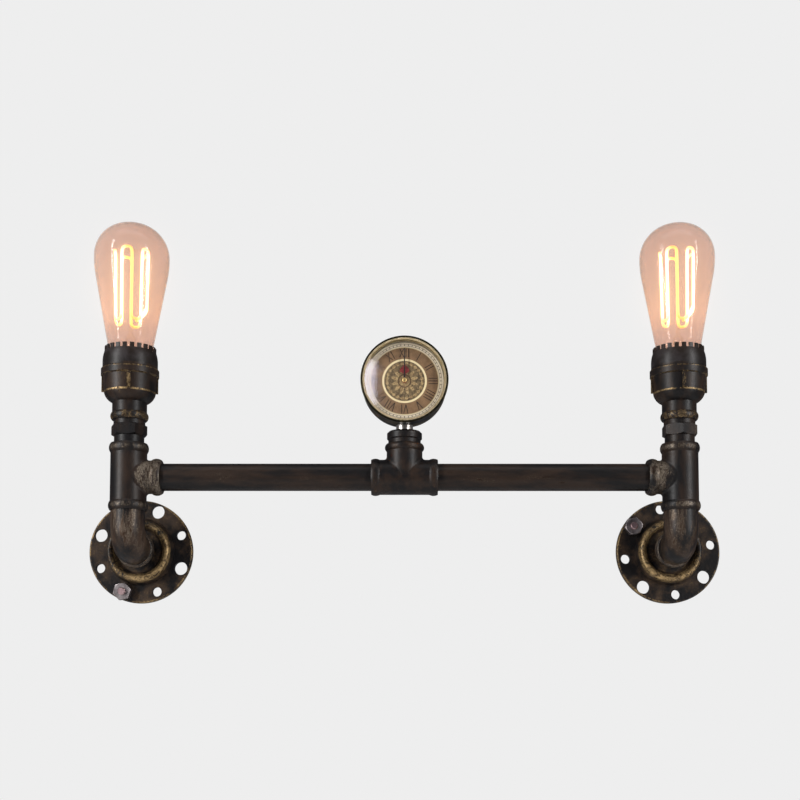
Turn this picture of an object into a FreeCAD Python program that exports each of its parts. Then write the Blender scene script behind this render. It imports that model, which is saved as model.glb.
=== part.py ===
"""Industrial pipe wall light: two upright filament lamps on half-inch pipe fittings, joined by a pipe
bar that carries a gauge-style clock on a tee.

The frame: origin midway between the two flange centres on the wall face, +X to the right, +Y into the
wall and +Z up. Sizes are millimetres and degrees.
"""
import FreeCAD
import Part
import Sketcher
import math
import os
from FreeCAD import Placement, Rotation, Vector

SIZES = [
    # the layout
    ("upright_span", 432.0, "between the two upright axes, and between the flange centres"),
    ("standoff", 52.0, "from the wall face to the upright axes"),
    ("bar_rise", 53.5, "from the flange axis up to the bar axis"),
    # half-inch pipe and its threads
    ("pipe_radius", 10.65, "outside of the pipe"),
    ("pipe_bore", 7.9, "inside of the pipe, as a radius"),
    ("thread_radius", 10.3, "outside of a male pipe thread"),
    ("thread_depth", 12.5, "how far a male end screws in"),
    ("thread_gap", 0.05, "radial gap of a screwed pair"),
    # small amounts used all over
    ("overlap", 1.0, "how far forms of one piece run into each other"),
    ("clearance", 0.3, "gap between two pieces that do not touch"),
    ("fine_edge", 0.4, "edge broken on a small piece"),
    # the wall flange
    ("flange_radius", 42.2, "outside of the flange"),
    ("flange_plate", 5.5, "thickness of its plate"),
    ("flange_edge", 1.2, "round on its rim"),
    ("hub_foot", 27.6, "radius where the hub leaves the plate"),
    ("lip_radius", 25.2, "outside of the raised lip"),
    ("lip_width", 5.0, "width of the lip"),
    ("lip_base", 15.9, "height where the lip starts to round"),
    ("lip_crown", 1.9, "how far the lip rounds up"),
    ("recess_radius", 17.5, "floor of the recess in the hub"),
    ("recess_floor", 12.0, "height of that floor above the wall"),
    ("hole_circle", 71.0, "diameter of the circle of holes"),
    ("small_hole", 3.9, "radius of the four fixing holes"),
    ("large_hole", 5.4, "radius of the four large holes"),
    ("left_flange_turn", 22.5, "turn of the left flange about its axis"),
    ("right_flange_turn", 9.5, "turn of the right flange about its axis"),
    # the bolt and nut that each flange carries
    ("bolt_radius", 2.95, "threaded end of the flange bolt"),
    ("bolt_sink", 0.7, "depth of the countersink in the flange"),
    ("bolt_end", 2.6, "how far the bolt stands out of its nut"),
    ("bolt_point", 0.6, "chamfer on its end"),
    ("nut_flats", 13.0, "across the flats of its nut"),
    ("nut_height", 6.5, "height of its nut"),
    # the wall elbow and its nipple
    ("elbow_radius", 13.2, "outside of the elbow"),
    ("elbow_bore", 8.2, "inside of the elbow, as a radius"),
    ("elbow_bend", 16.0, "bend radius of its axis"),
    ("elbow_reach", 30.0, "from the elbow's corner to its face"),
    ("band_length", 7.0, "length of the band on its socket"),
    ("band_rise", 1.8, "how far the band stands out"),
    ("nipple_set_back", 2.0, "from the wall to the end of the nipple"),
    # the end tees
    ("tee_radius", 14.1, "run of an end tee"),
    ("tee_face", 26.4, "from its centre to each run face"),
    ("run_collar", 7.4, "length of the rounded collars on the run"),
    ("run_collar_rise", 1.25, "how far they stand out"),
    ("branch_radius", 13.1, "branch of an end tee"),
    ("branch_face", 26.2, "from its centre to the branch face"),
    ("branch_collar", 7.9, "length of the collar on the branch"),
    ("branch_collar_rise", 1.4, "how far it stands out"),
    ("tee_fillet", 2.4, "cast round between run and branch"),
    # the centre tee
    ("centre_radius", 13.7, "run of the centre tee"),
    ("centre_face", 26.0, "from its centre to each run face"),
    ("centre_collar", 6.6, "length of the collars on its run"),
    ("centre_collar_rise", 0.85, "how far they stand out"),
    ("centre_branch_radius", 14.0, "branch of the centre tee, less its collar"),
    ("centre_branch_face", 26.0, "from its centre to the branch face"),
    ("centre_branch_collar", 5.6, "length of the collar on that branch"),
    ("centre_branch_rise", 1.4, "how far it stands out"),
    # the hexagon nipple above each end tee
    ("shoulder_radius", 11.6, "round shoulder under the hexagon"),
    ("shoulder_length", 5.8, "its length"),
    ("hexagon_flats", 24.5, "across the flats of the hexagon"),
    ("hexagon_height", 9.1, "its height"),
    ("groove_radius", 12.2, "round part above the hexagon"),
    ("groove_length", 3.5, "its length"),
    ("upper_thread", 9.8, "length of the thread that enters the cup"),
    # the reducing cup
    ("cup_ring", 6.2, "length of the ring at the foot of the cup"),
    ("cup_ring_rise", 1.3, "how far the ring stands out"),
    ("cup_neck", 13.4, "radius of the neck"),
    ("cup_neck_top", 13.9, "height of the neck above the cup's foot"),
    ("cup_shoulder", 19.9, "radius where the shoulder ends"),
    ("cup_shoulder_top", 21.6, "height where the shoulder ends"),
    ("cup_shoulder_round", 11.0, "radius of the shoulder's curve"),
    ("cup_belly", 20.9, "radius under the band"),
    ("cup_band", 22.4, "radius of the band"),
    ("cup_band_foot", 34.2, "height where the band starts"),
    ("cup_band_top", 39.9, "height where the band ends"),
    ("cup_band_edge", 0.8, "height of the band's sloped edges"),
    ("cup_height", 42.2, "height of the cup"),
    ("cup_rim", 21.3, "radius of the rim"),
    ("cup_cavity", 18.0, "radius of the cavity for the lampholder"),
    ("cup_web", 3.0, "thickness of the web between thread and cavity"),
    ("rib_width", 2.6, "width of a casting rib on the cup"),
    ("rib_rise", 0.9, "how far a rib stands out under the band"),
    ("rib_foot", 0.6, "from the shoulder's end up to a rib's foot"),
    ("rib_count", 4, "number of ribs"),
    # the lampholder
    ("tube_radius", 4.95, "outside of the threaded tube that holds the lampholder"),
    ("tube_bore", 3.4, "inside of that tube, as a radius"),
    ("tube_end", 0.2, "how far it stands out of its locknut, and short of the base's floor"),
    ("locknut_flats", 14.0, "across the flats of its locknut"),
    ("locknut_height", 2.6, "height of its locknut"),
    ("core_floor", 2.6, "thickness of the insulating base"),
    ("core_height", 9.4, "height of the insulating base"),
    ("core_gap", 0.3, "gap between the lampholder and the cup's cavity"),
    ("shell_bore", 13.3, "inside of the brass screw shell, as a radius"),
    ("shell_wall", 0.5, "its wall"),
    ("shell_top", 30.4, "its top above the cavity floor"),
    ("tongue_rise", 4.6, "top of the centre contact above the cavity floor"),
    ("tongue_width", 6.0, "width of the centre contact"),
    ("strip", 0.5, "thickness of the contact strips"),
    ("screw_place", 9.4, "radius at which the terminal screws stand"),
    ("screw_radius", 1.45, "shank of a terminal screw"),
    ("screw_foot", 0.8, "from the base's underside up to the screw's end"),
    ("screw_head", 2.6, "radius of its head"),
    ("screw_head_height", 1.6, "height of its head"),
    ("ring_foot", 21.3, "widest radius of the lampholder's outer ring"),
    ("ring_top", 19.9, "radius of its crown"),
    ("ring_height", 12.0, "height of the ring above the cup's rim, less its teeth"),
    ("ring_straight", 3.6, "height at which the ring starts to curve in"),
    ("ring_round", 24.0, "radius of that curve"),
    ("ring_mouth", 18.5, "inside of its crown, as a radius"),
    ("tooth_height", 3.5, "height of the crown's teeth"),
    ("tooth_count", 22, "number of teeth"),
    ("tooth_gap", 2.3, "gap between two teeth"),
    # the lamp
    ("lamp_gap", 0.3, "gap between the lamp's tip and the contact under it"),
    ("tip_radius", 4.75, "radius of the lamp's tip contact"),
    ("tip_height", 1.3, "height of that contact"),
    ("insulator_height", 5.3, "height of the black insulator"),
    ("cap_radius", 13.0, "outside of the lamp's screw cap"),
    ("cap_wall", 0.45, "its wall"),
    ("cap_curl", 0.6, "how far its foot turns in"),
    ("cap_top", 27.0, "its top above the lamp's tip"),
    ("glass_wall", 0.8, "wall of the glass"),
    ("glass_seat", 3.0, "how far the glass reaches down into the cap"),
    ("neck_radius", 17.7, "radius of the glass where its neck ends"),
    ("neck_top", 38.6, "height of that place above the lamp's tip"),
    ("shoulder_round", 81.0, "radius of the glass's curve below its widest place"),
    ("flank_radius", 28.0, "radius of the glass where the straight flank ends"),
    ("flank_drop", 41.4, "how far that place is below the lamp's top"),
    ("glass_radius", 29.2, "widest radius of the glass"),
    ("middle_drop", 26.6, "how far the widest place is below the lamp's top"),
    ("crown_round", 36.0, "radius of the glass's crown"),
    ("lamp_height", 136.0, "height of the lamp"),
    ("stem_tube", 4.0, "radius of the glass stem"),
    ("stem_flare", 11.0, "height of the flare that seals it to the glass"),
    ("stem_pinch", 46.0, "height where the stem is pinched shut"),
    ("pinch_slope", 2.0, "half the height of the pinch's slope"),
    ("rod_radius", 1.5, "radius of the glass rod above it"),
    ("rod_bead", 2.6, "radius of the bead on the rod's end"),
    ("rod_drop", 19.5, "how far the rod's end is below the lamp's top"),
    ("cage_radius", 13.4, "radius of the filament's upper turns"),
    ("cage_foot", 12.4, "radius of its lower turns"),
    ("cage_bottom", 57.0, "height of its lower turns"),
    ("cage_drop", 22.0, "how far its upper turns are below the lamp's top"),
    ("strand_radius", 0.28, "radius of the filament's wire"),
    ("hook_radius", 0.22, "radius of the wires that hold it"),
    # the clock's mounting
    ("bush_neck", 12.7, "radius of the bush's groove"),
    ("bush_neck_length", 3.2, "its length"),
    ("bush_radius", 13.7, "radius of the bush's collar"),
    ("bush_height", 9.9, "height of the bush above the tee"),
    ("bush_chamfer", 1.5, "chamfer on its top"),
    ("stem_radius", 6.6, "radius of the clock's stem"),
    ("stem_depth", 9.0, "how far the stem enters the bush"),
    ("stud_radius", 2.45, "radius of the stud on the stem"),
    ("stud_nut_flats", 8.0, "across the flats of its nut"),
    ("stud_nut_height", 2.6, "height of its nut"),
    # the clock
    ("clock_rise", 73.4, "from the bar axis up to the clock's axis"),
    ("case_radius", 33.0, "outside of the case"),
    ("case_wall", 1.8, "wall of the case"),
    ("case_depth", 24.0, "depth of the case, less the bezel"),
    ("case_back", 8.0, "from the upright axes back to the case's back"),
    ("case_edge", 3.0, "round on its back edge"),
    ("insert_gap", 0.3, "gap between the clock insert and the case"),
    ("bezel_overhang", 1.0, "how far the bezel stands out over the case"),
    ("bezel_depth", 3.7, "depth of the bezel"),
    ("bezel_width", 2.9, "width of the bezel's front"),
    ("bezel_edge", 0.7, "round on its front edge"),
    ("lens_hold", 0.4, "how far the lens reaches under the bezel"),
    ("lens_depth", 1.4, "thickness of the lens"),
    ("lens_set_back", 1.0, "from the bezel's front to the lens"),
    ("can_room", 0.881, "room between the stem's nut and its back"),
    ("can_step", 4.6, "depth of its wide front part"),
    ("can_wall", 0.6, "its wall"),
    ("can_waist", 1.4, "how much narrower its back part is"),
    ("dial_thickness", 0.5, "thickness of the dial"),
    ("movement_side", 36.0, "side of the clock movement"),
    ("movement_floor", 1.6, "thickness of its floor under the arbors"),
    ("movement_corner", 4.0, "cut on its corners"),
    ("dial_room", 0.8, "room between the movement and the dial"),
    ("cell_radius", 5.8, "radius of the button cell"),
    ("cell_height", 3.6, "height of the button cell"),
    ("cell_place", 10.5, "distance of the cell from the clock's axis"),
    ("knob_radius", 4.0, "radius of the setting knob"),
    ("knob_height", 2.2, "height of the setting knob"),
    ("shaft_radius", 1.2, "radius of its shaft"),
    ("shaft_depth", 3.2, "depth of the hole for the shaft"),
    ("knob_slot", 0.8, "width of the slot in it"),
    ("knob_place", 11.0, "distance of the knob from the clock's axis"),
    ("arbor_radius", 0.6, "radius of the minute arbor"),
    ("hour_pipe_radius", 1.1, "outside of the hour pipe"),
    ("running_gap", 0.05, "radial gap of a turning pair"),
    ("hand_thickness", 0.35, "thickness of the hands"),
    ("hub_rim", 0.9, "metal round the hole in a hand"),
    ("hour_hand_rise", 1.0, "from the dial to the hour hand"),
    ("minute_hand_rise", 2.4, "from the dial to the minute hand"),
    ("minute_reach", 25.5, "length of the minute hand"),
    ("minute_width", 1.35, "its width near the hub"),
    ("hour_reach", 14.0, "length of the hour hand"),
    ("spade_width", 7.4, "width of the hour hand's spade"),
    ("hand_nut_radius", 1.9, "radius of the nut on the hands"),
    ("hand_nut_height", 0.9, "height of that nut"),
    # the leads inside the pipes
    ("lead_radius", 2.3, "radius of a twin lead"),
    ("lead_spread", 2.45, "sideways place of each lead in the left nipple"),
    ("lead_start", 14.0, "from the wall to the leads' ends"),
    ("lead_gap", 0.1, "gap between a lead and the bore it lies in"),
    ("lead_sway", 60.0, "bend radius where the left lead swings to its holder"),
]


class Size:
    """A dimension: its number, and the expression that gives it from the sheet."""

    def __init__(self, value, text):
        self.value = float(value)
        self.text = text

    def __add__(self, other):
        other = as_size(other)
        return Size(self.value + other.value, f"({self.text} + {other.text})")

    def __sub__(self, other):
        other = as_size(other)
        return Size(self.value - other.value, f"({self.text} - {other.text})")

    def __mul__(self, other):
        other = as_size(other)
        return Size(self.value * other.value, f"({self.text} * {other.text})")

    def __truediv__(self, other):
        other = as_size(other)
        return Size(self.value / other.value, f"({self.text} / {other.text})")

    def __radd__(self, other):
        return as_size(other) + self

    def __rsub__(self, other):
        return as_size(other) - self

    def __rmul__(self, other):
        return as_size(other) * self

    def __neg__(self):
        return Size(-self.value, f"(0 - {self.text})")


def as_size(number):
    """A plain number as a size."""
    if isinstance(number, Size):
        return number
    return Size(number, f"({float(number):.6f})")


def root(size):
    """The square root of a size."""
    return Size(math.sqrt(size.value), f"sqrt({size.text})")


class Sizes:
    """The driving dimensions, by name."""


doc = FreeCAD.newDocument("pipe_wall_light")
sheet = doc.addObject("Spreadsheet::Sheet", "Sizes")
S = Sizes()
for row, (alias, number, meaning) in enumerate(SIZES, start=1):
    sheet.set(f"A{row}", meaning)
    sheet.set(f"B{row}", str(number))
    sheet.setAlias(f"B{row}", alias)
    setattr(S, alias, Size(number, f"Sizes.{alias}"))
doc.recompute()

PARTS = []                 # the sub-parts, in the order that they are made
ON_WALL = Rotation(Vector(1, 0, 0), 90)          # local Z points out of the wall
BRANCH_UP = Rotation(Vector(1, 0, 1), 180)       # local Z along the bar, local X up


# ---------------------------------------------------------------- helpers

def new_body(label, keep=True):
    """An empty body; a kept one is a sub-part of its own."""
    body = doc.addObject("PartDesign::Body", label)
    body.Label = label
    if keep:
        PARTS.append(body)
    return body


def seat(item, across, depth, up, rotation=Rotation()):
    """Place a finished item: across is X, depth is Y and up is Z."""
    places = [as_size(across), as_size(depth), as_size(up)]
    item.Placement = Placement(Vector(*[place.value for place in places]), rotation)
    for axis, place in zip("xyz", places):
        item.setExpression(f".Placement.Base.{axis}", place.text)


def origin_plane(body, role):
    """One of the body's own origin planes."""
    return next(item for item in body.Origin.OriginFeatures if item.Role == role)


def new_sketch(body, role, lift=None):
    """A sketch on an origin plane, lifted along the plane's normal where asked."""
    sketch = body.newObject("Sketcher::SketchObject", "Sketch")
    sketch.AttachmentSupport = [(origin_plane(body, role), "")]
    sketch.MapMode = "FlatFace"
    if lift is not None:
        lift = as_size(lift)
        sketch.AttachmentOffset = Placement(Vector(0, 0, lift.value), Rotation())
        sketch.setExpression(".AttachmentOffset.Base.z", lift.text)
    return sketch


def turn_sketch(sketch, angle):
    """Turn an upright sketch about the body's Z axis, by degrees."""
    sketch.AttachmentOffset = Placement(Vector(0, 0, 0), Rotation(Vector(0, 1, 0), angle))


def pin_point(sketch, edge, end, across, up):
    """Hold one end of an edge at its place, from the sketch's origin."""
    for kind, axis, place in (("DistanceX", -2, across), ("DistanceY", -1, up)):
        if place.value == 0:
            sketch.addConstraint(Sketcher.Constraint("PointOnObject", edge, end, axis))
        else:
            index = sketch.addConstraint(
                Sketcher.Constraint(kind, -1, 1, edge, end, place.value))
            sketch.setExpression(f"Constraints[{index}]", place.text)


def drive(sketch, kind, edge, size):
    """Drive the radius or another one-edge dimension by a size."""
    index = sketch.addConstraint(Sketcher.Constraint(kind, edge, size.value))
    sketch.setExpression(f"Constraints[{index}]", size.text)


def arc_between(start, end, radius):
    """The short arc from start to end, turning left for a positive radius."""
    chord = end - start
    reach = chord.Length / 2
    left = Vector(-chord.y, chord.x, 0).normalize()
    side = 1 if radius > 0 else -1
    centre = (start + end) / 2 + left * side * math.sqrt(radius * radius - reach * reach)
    first, last = (start, end) if radius > 0 else (end, start)
    angles = [math.atan2(point.y - centre.y, point.x - centre.x) for point in (first, last)]
    return Part.ArcOfCircle(Part.Circle(centre, Vector(0, 0, 1), abs(radius)), *angles)


def outline(sketch, corners):
    """A closed outline. A corner is (across, up), or (across, up, radius) where an arc leaves it: an arc
    with a positive radius turns left, so it bulges outwards on an outline that runs anticlockwise."""
    corners = [tuple(as_size(value) for value in corner) for corner in corners]
    count = len(corners)
    points = [Vector(corner[0].value, corner[1].value, 0) for corner in corners]
    ends = []
    for number, corner in enumerate(corners):
        start = points[number]
        end = points[(number + 1) % count]
        if len(corner) == 2:
            sketch.addGeometry(Part.LineSegment(start, end))
            ends.append((1, 2))
        else:
            sketch.addGeometry(arc_between(start, end, corner[2].value))
            ends.append((1, 2) if corner[2].value > 0 else (2, 1))
    for number, corner in enumerate(corners):
        following = (number + 1) % count
        sketch.addConstraint(Sketcher.Constraint(
            "Coincident", number, ends[number][1], following, ends[following][0]))
        pin_point(sketch, number, ends[number][0], corner[0], corner[1])
        if len(corner) == 3:
            radius = corner[2] if corner[2].value > 0 else -corner[2]
            drive(sketch, "Radius", number, radius)
    return sketch


def round_outline(sketch, across, up, radius):
    """A circle in a sketch."""
    across, up, radius = as_size(across), as_size(up), as_size(radius)
    centre = Vector(across.value, up.value, 0)
    edge = sketch.addGeometry(Part.Circle(centre, Vector(0, 0, 1), radius.value))
    pin_point(sketch, edge, 3, across, up)
    drive(sketch, "Radius", edge, radius)
    return sketch


def turn(body, corners, plane="XZ_Plane", axis="V_Axis", cut=False):
    """Revolve an outline about a sketch axis, as metal or as a cut."""
    sketch = outline(new_sketch(body, plane), corners)
    feature = body.newObject("PartDesign::Groove" if cut else "PartDesign::Revolution", "Turn")
    feature.Profile = sketch
    feature.ReferenceAxis = (sketch, [axis])
    feature.Angle = 360
    return feature


def bore(body, radius, low, high, axis="V_Axis", plane="XZ_Plane"):
    """Cut a round hole along an axis, from low to high."""
    if axis == "V_Axis":
        corners = [(0, low), (radius, low), (radius, high), (0, high)]
    else:
        corners = [(low, 0), (high, 0), (high, radius), (low, radius)]
    return turn(body, corners, plane, axis, cut=True)


def raise_pad(body, sketch, height, centred=False):
    """Pad a sketch by a height."""
    height = as_size(height)
    pad = body.newObject("PartDesign::Pad", "Pad")
    pad.Profile = sketch
    pad.Length = height.value
    pad.setExpression("Length", height.text)
    if centred:
        pad.SideType = "Symmetric"
    return pad


def pocket(body, sketch, depth, into_normal=True):
    """Cut a sketch to a depth, along its plane's normal or against it."""
    depth = as_size(depth)
    cut = body.newObject("PartDesign::Pocket", "Pocket")
    cut.Profile = sketch
    cut.Length = depth.value
    cut.setExpression("Length", depth.text)
    cut.Reversed = into_normal
    return cut


def around(body, feature, count, sweep=360):
    """Repeat a feature round the body's Z axis."""
    count = as_size(count)
    pattern = body.newObject("PartDesign::PolarPattern", "Around")
    pattern.Originals = [feature]
    pattern.Axis = (next(item for item in body.Origin.OriginFeatures if item.Role == "Z_Axis"), [""])
    pattern.Angle = sweep
    pattern.Occurrences = int(count.value)
    pattern.setExpression("Occurrences", count.text)
    body.Tip = pattern
    return pattern


def bulge(length, rise):
    """Radius of the arc over a collar of this length that stands out by rise."""
    return (length * length / 4 + rise * rise) / (2 * rise)


def hexagon(body, flats, low, height):
    """Pad a hexagon, by the distance across its flats."""
    sketch = new_sketch(body, "XY_Plane", low)
    corner = flats / math.sqrt(3)
    points = []
    for step in range(6):
        angle = math.radians(60 * step)
        points.append((corner * round(math.cos(angle), 9), corner * round(math.sin(angle), 9)))
    return raise_pad(body, outline(sketch, points), height)


CHAMFER_START = 0.49                             # radius of the round's inner end, over the flats
CHAMFER_END = 0.62                               # a radius beyond the corners, over the flats


def break_corners(body, flats, low, height):
    """Cut the 30 degree rounds that a hexagon has at both ends."""
    inside = flats * CHAMFER_START
    outside = flats * CHAMFER_END
    drop = (outside - inside) * math.tan(math.radians(30))
    turn(body, [(inside, low), (outside, low), (outside, low + drop)], cut=True)
    top = low + height
    turn(body, [(inside, top), (outside, top - drop), (outside, top)], cut=True)


def group(label, items):
    """Several like solids as one sub-part."""
    compound = doc.addObject("Part::Compound", label)
    compound.Label = label
    compound.Links = items
    PARTS.append(compound)
    return compound


def swept_wire(points, bends):
    """A wire through the points with a tangent arc of the given radius at each inner one."""
    edges = []
    start = points[0]
    for before, corner, after, radius in zip(points, points[1:], points[2:], bends):
        arrive = (corner - before).normalize()
        leave = (after - corner).normalize()
        trim = radius * math.tan(arrive.getAngle(leave) / 2)
        entry = corner - arrive * trim
        exit_point = corner + leave * trim
        inward = (leave - arrive).normalize()
        centre = corner + inward * math.hypot(radius, trim)
        middle = centre - inward * radius
        edges.append(Part.LineSegment(start, entry).toShape())
        edges.append(Part.Arc(entry, middle, exit_point).toShape())
        start = exit_point
    edges.append(Part.LineSegment(start, points[-1]).toShape())
    return Part.Wire(edges)


def solid_along(label, wire, section, transition=0):
    """A solid that a section makes along a wire, kept as a feature that takes its sizes from the sheet."""
    feature = doc.addObject("Part::Feature", label)
    feature.Label = label
    feature.Shape = wire.makePipeShell([section], True, False, transition)
    PARTS.append(feature)
    print(f"{label}: length {wire.Length:.1f}")
    return feature


def round_section(wire, radius):
    """A circle square to a wire's start."""
    start = wire.Edges[0]
    ring = Part.Circle(start.valueAt(start.FirstParameter),
                       start.tangentAt(start.FirstParameter), radius)
    return Part.Wire([ring.toShape()])


# ---------------------------------------------------------------- shared places

MALE = S.thread_radius
FEMALE = S.thread_radius + S.thread_gap
UPRIGHT_FRONT = -S.standoff
ELBOW_FACE = S.standoff - S.elbow_reach          # from the wall to the elbow's socket face
TEE_TOP = S.bar_rise + S.tee_face                # heights from the flange axis
CUP_FOOT = TEE_TOP + S.shoulder_length + S.hexagon_height + S.groove_length
CAVITY_FLOOR = CUP_FOOT + S.cup_neck_top + S.cup_web - S.core_gap
CUP_RIM = CUP_FOOT + S.cup_height
LAMP_TIP = CAVITY_FLOOR + S.tongue_rise + S.lamp_gap
GLASS_MIDDLE = S.lamp_height - S.middle_drop     # heights above the lamp's tip
FLANK_TOP = S.lamp_height - S.flank_drop
ROD_TOP = S.lamp_height - S.rod_drop
CAGE_TOP = S.lamp_height - S.cage_drop
CLOCK_AXIS = S.bar_rise + S.clock_rise
CASE_BACK = S.case_back - S.standoff             # depth of the case's back face
BEZEL_BACK = S.case_depth + S.insert_gap         # heights above the case's back face
CAN_BACK = S.case_back + S.stud_nut_flats / root(as_size(3)) + S.can_room
BEZEL_RADIUS = S.case_radius + S.bezel_overhang
MOVEMENT_DEPTH = BEZEL_BACK - S.can_step - S.dial_room - CAN_BACK
DIAL_FACE = BEZEL_BACK - S.can_step + S.can_wall + S.dial_thickness
MOVEMENT_FLOOR = CAN_BACK + S.can_wall + S.movement_floor
CAN_RADIUS = S.case_radius - S.case_wall - S.insert_gap


# ---------------------------------------------------------------- wall flange

def make_flange(side, across, spin):
    """Cast flange: a plate with eight holes and a hub whose lip stands round a recess."""
    body = new_body(f"{side}_flange")
    lip_inside = S.lip_radius - S.lip_width
    turn(body, [
        (FEMALE, 0),
        (S.flange_radius, 0),
        (S.flange_radius, S.flange_plate - S.flange_edge, S.flange_edge),
        (S.flange_radius - S.flange_edge, S.flange_plate),
        (S.hub_foot, S.flange_plate),
        (S.lip_radius, S.lip_base, bulge(S.lip_width, S.lip_crown)),
        (lip_inside, S.lip_base),
        (S.recess_radius, S.recess_floor),
        (FEMALE, S.recess_floor)])
    for radius, angle in ((S.small_hole, 0), (S.large_hole, 45)):
        reach = S.hole_circle / 2
        place = (reach * round(math.cos(math.radians(angle)), 9),
                 reach * round(math.sin(math.radians(angle)), 9))
        hole = pocket(body, round_outline(new_sketch(body, "XY_Plane"), *place, radius), S.flange_plate)
        around(body, hole, 4)
    doc.recompute()
    bolt_angle = math.radians(FLANGE_BOLT_ANGLE[side])
    bolt_place = Vector(math.cos(bolt_angle), math.sin(bolt_angle), 0) * (S.hole_circle.value / 2)
    names = []
    drilled = body.Tip
    for number, edge in enumerate(drilled.Shape.Edges, start=1):
        if edge.CenterOfMass.distanceToPoint(bolt_place) < 0.01:
            names.append(f"Edge{number}")
    sink = body.newObject("PartDesign::Chamfer", "Countersink")
    sink.Base = (drilled, names)
    sink.Size = S.bolt_sink.value
    sink.setExpression("Size", S.bolt_sink.text)
    body.Tip = sink
    seat(body, across, 0, 0, ON_WALL * Rotation(Vector(0, 0, 1), spin.value))


FLANGE_BOLT_ANGLE = {"left": 225, "right": 135}  # the large hole that each flange's bolt takes
NUT_TURN = 12                                    # degrees that its nut ended up turned


def flange_bolt_place(side, across, spin):
    """Where a flange's bolt stands on the wall face."""
    angle = math.radians(FLANGE_BOLT_ANGLE[side] + spin.value)
    reach = S.hole_circle / 2
    return across + reach * math.cos(angle), reach * math.sin(angle)


def make_flange_bolt(side, across, spin):
    """Shouldered bolt: its shallow head is sunk in the flange's back, and its shoulder fills the hole."""
    body = new_body(f"{side}_flange_bolt", keep=False)
    sunk = 2 * S.thread_gap
    shoulder = S.large_hole - S.thread_gap
    shoulder_end = S.flange_plate - sunk
    end = S.flange_plate + S.nut_height + S.bolt_end
    turn(body, [
        (0, sunk),
        (shoulder + S.bolt_sink - sunk, sunk),
        (shoulder, S.bolt_sink),
        (shoulder, shoulder_end),
        (S.bolt_radius, shoulder_end),
        (S.bolt_radius, end - S.bolt_point),
        (S.bolt_radius - S.bolt_point, end),
        (0, end)])
    bolt_across, bolt_up = flange_bolt_place(side, across, spin)
    seat(body, bolt_across, 0, bolt_up, ON_WALL)
    return body


def make_nut(label, flats, height, hole, keep=False):
    """Hexagon nut with broken corners."""
    body = new_body(label, keep)
    hexagon(body, flats, 0, height)
    bore(body, hole, 0, height)
    break_corners(body, flats, as_size(0), height)
    return body


def make_flange_nut(side, across, spin):
    """The nut on the flange's bolt, turned a little as it was tightened."""
    nut = make_nut(f"{side}_flange_nut", S.nut_flats, S.nut_height, S.bolt_radius + S.thread_gap)
    bolt_across, bolt_up = flange_bolt_place(side, across, spin)
    seat(nut, bolt_across, -S.flange_plate, bolt_up, ON_WALL * Rotation(Vector(0, 0, 1), NUT_TURN))
    return nut


# ---------------------------------------------------------------- pipes and elbow

def make_wall_nipple(side, across):
    """Short pipe between the flange and the elbow, threaded at both ends."""
    body = new_body(f"{side}_wall_nipple")
    turn(body, [
        (S.pipe_bore, S.nipple_set_back),
        (MALE, S.nipple_set_back),
        (MALE, S.recess_floor),
        (S.pipe_radius, S.recess_floor),
        (S.pipe_radius, ELBOW_FACE),
        (MALE, ELBOW_FACE),
        (MALE, ELBOW_FACE + S.thread_depth),
        (S.pipe_bore, ELBOW_FACE + S.thread_depth)])
    seat(body, across, 0, 0, ON_WALL)


def elbow_path(body):
    """The elbow's axis: down from the tee, round the bend and back to the wall."""
    sketch = new_sketch(body, "YZ_Plane")
    top = S.bar_rise - S.tee_face
    bend = S.elbow_bend
    sketch.addGeometry(Part.LineSegment(Vector(0, top.value, 0), Vector(0, bend.value, 0)))
    corner = Part.Circle(Vector(bend.value, bend.value, 0), Vector(0, 0, 1), bend.value)
    sketch.addGeometry(Part.ArcOfCircle(corner, math.pi, 1.5 * math.pi))
    sketch.addGeometry(Part.LineSegment(Vector(bend.value, 0, 0), Vector(S.elbow_reach.value, 0, 0)))
    sketch.addConstraint(Sketcher.Constraint("Coincident", 0, 2, 1, 1))
    sketch.addConstraint(Sketcher.Constraint("Coincident", 1, 2, 2, 1))
    pin_point(sketch, 0, 1, as_size(0), top)
    pin_point(sketch, 0, 2, as_size(0), bend)
    pin_point(sketch, 2, 1, bend, as_size(0))
    pin_point(sketch, 2, 2, S.elbow_reach, as_size(0))
    drive(sketch, "Radius", 1, bend)
    return sketch


def pipe_along(body, kind, path, radius):
    """A round pipe along the elbow's axis, as metal or as a cut."""
    section = round_outline(new_sketch(body, "XY_Plane", S.bar_rise - S.tee_face), 0, 0, radius)
    pipe = body.newObject(f"PartDesign::{kind}", "Pipe")
    pipe.Profile = section
    pipe.Spine = (path, [])


def make_elbow(side, across):
    """Street elbow: a socket with a band faces the wall, and a male end screws up into the tee."""
    body = new_body(f"{side}_elbow")
    top = S.bar_rise - S.tee_face
    path = elbow_path(body)
    pipe_along(body, "AdditivePipe", path, S.elbow_radius)
    back = S.elbow_reach
    front = back - S.band_length
    edge = S.elbow_radius
    turn(body, [
        (front, edge - S.overlap),
        (back, edge - S.overlap),
        (back, edge, bulge(S.band_length, S.band_rise)),
        (front, edge)], "YZ_Plane", "H_Axis")
    turn(body, [
        (0, top - S.overlap),
        (MALE, top - S.overlap),
        (MALE, top + S.thread_depth),
        (0, top + S.thread_depth)], "YZ_Plane")
    pipe_along(body, "SubtractivePipe", path, S.elbow_bore)
    bore(body, S.elbow_bore, top - S.overlap, top + S.thread_depth)
    bore(body, FEMALE, back - S.thread_depth - S.overlap, back, "H_Axis", "YZ_Plane")
    seat(body, across, UPRIGHT_FRONT, 0)


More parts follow.
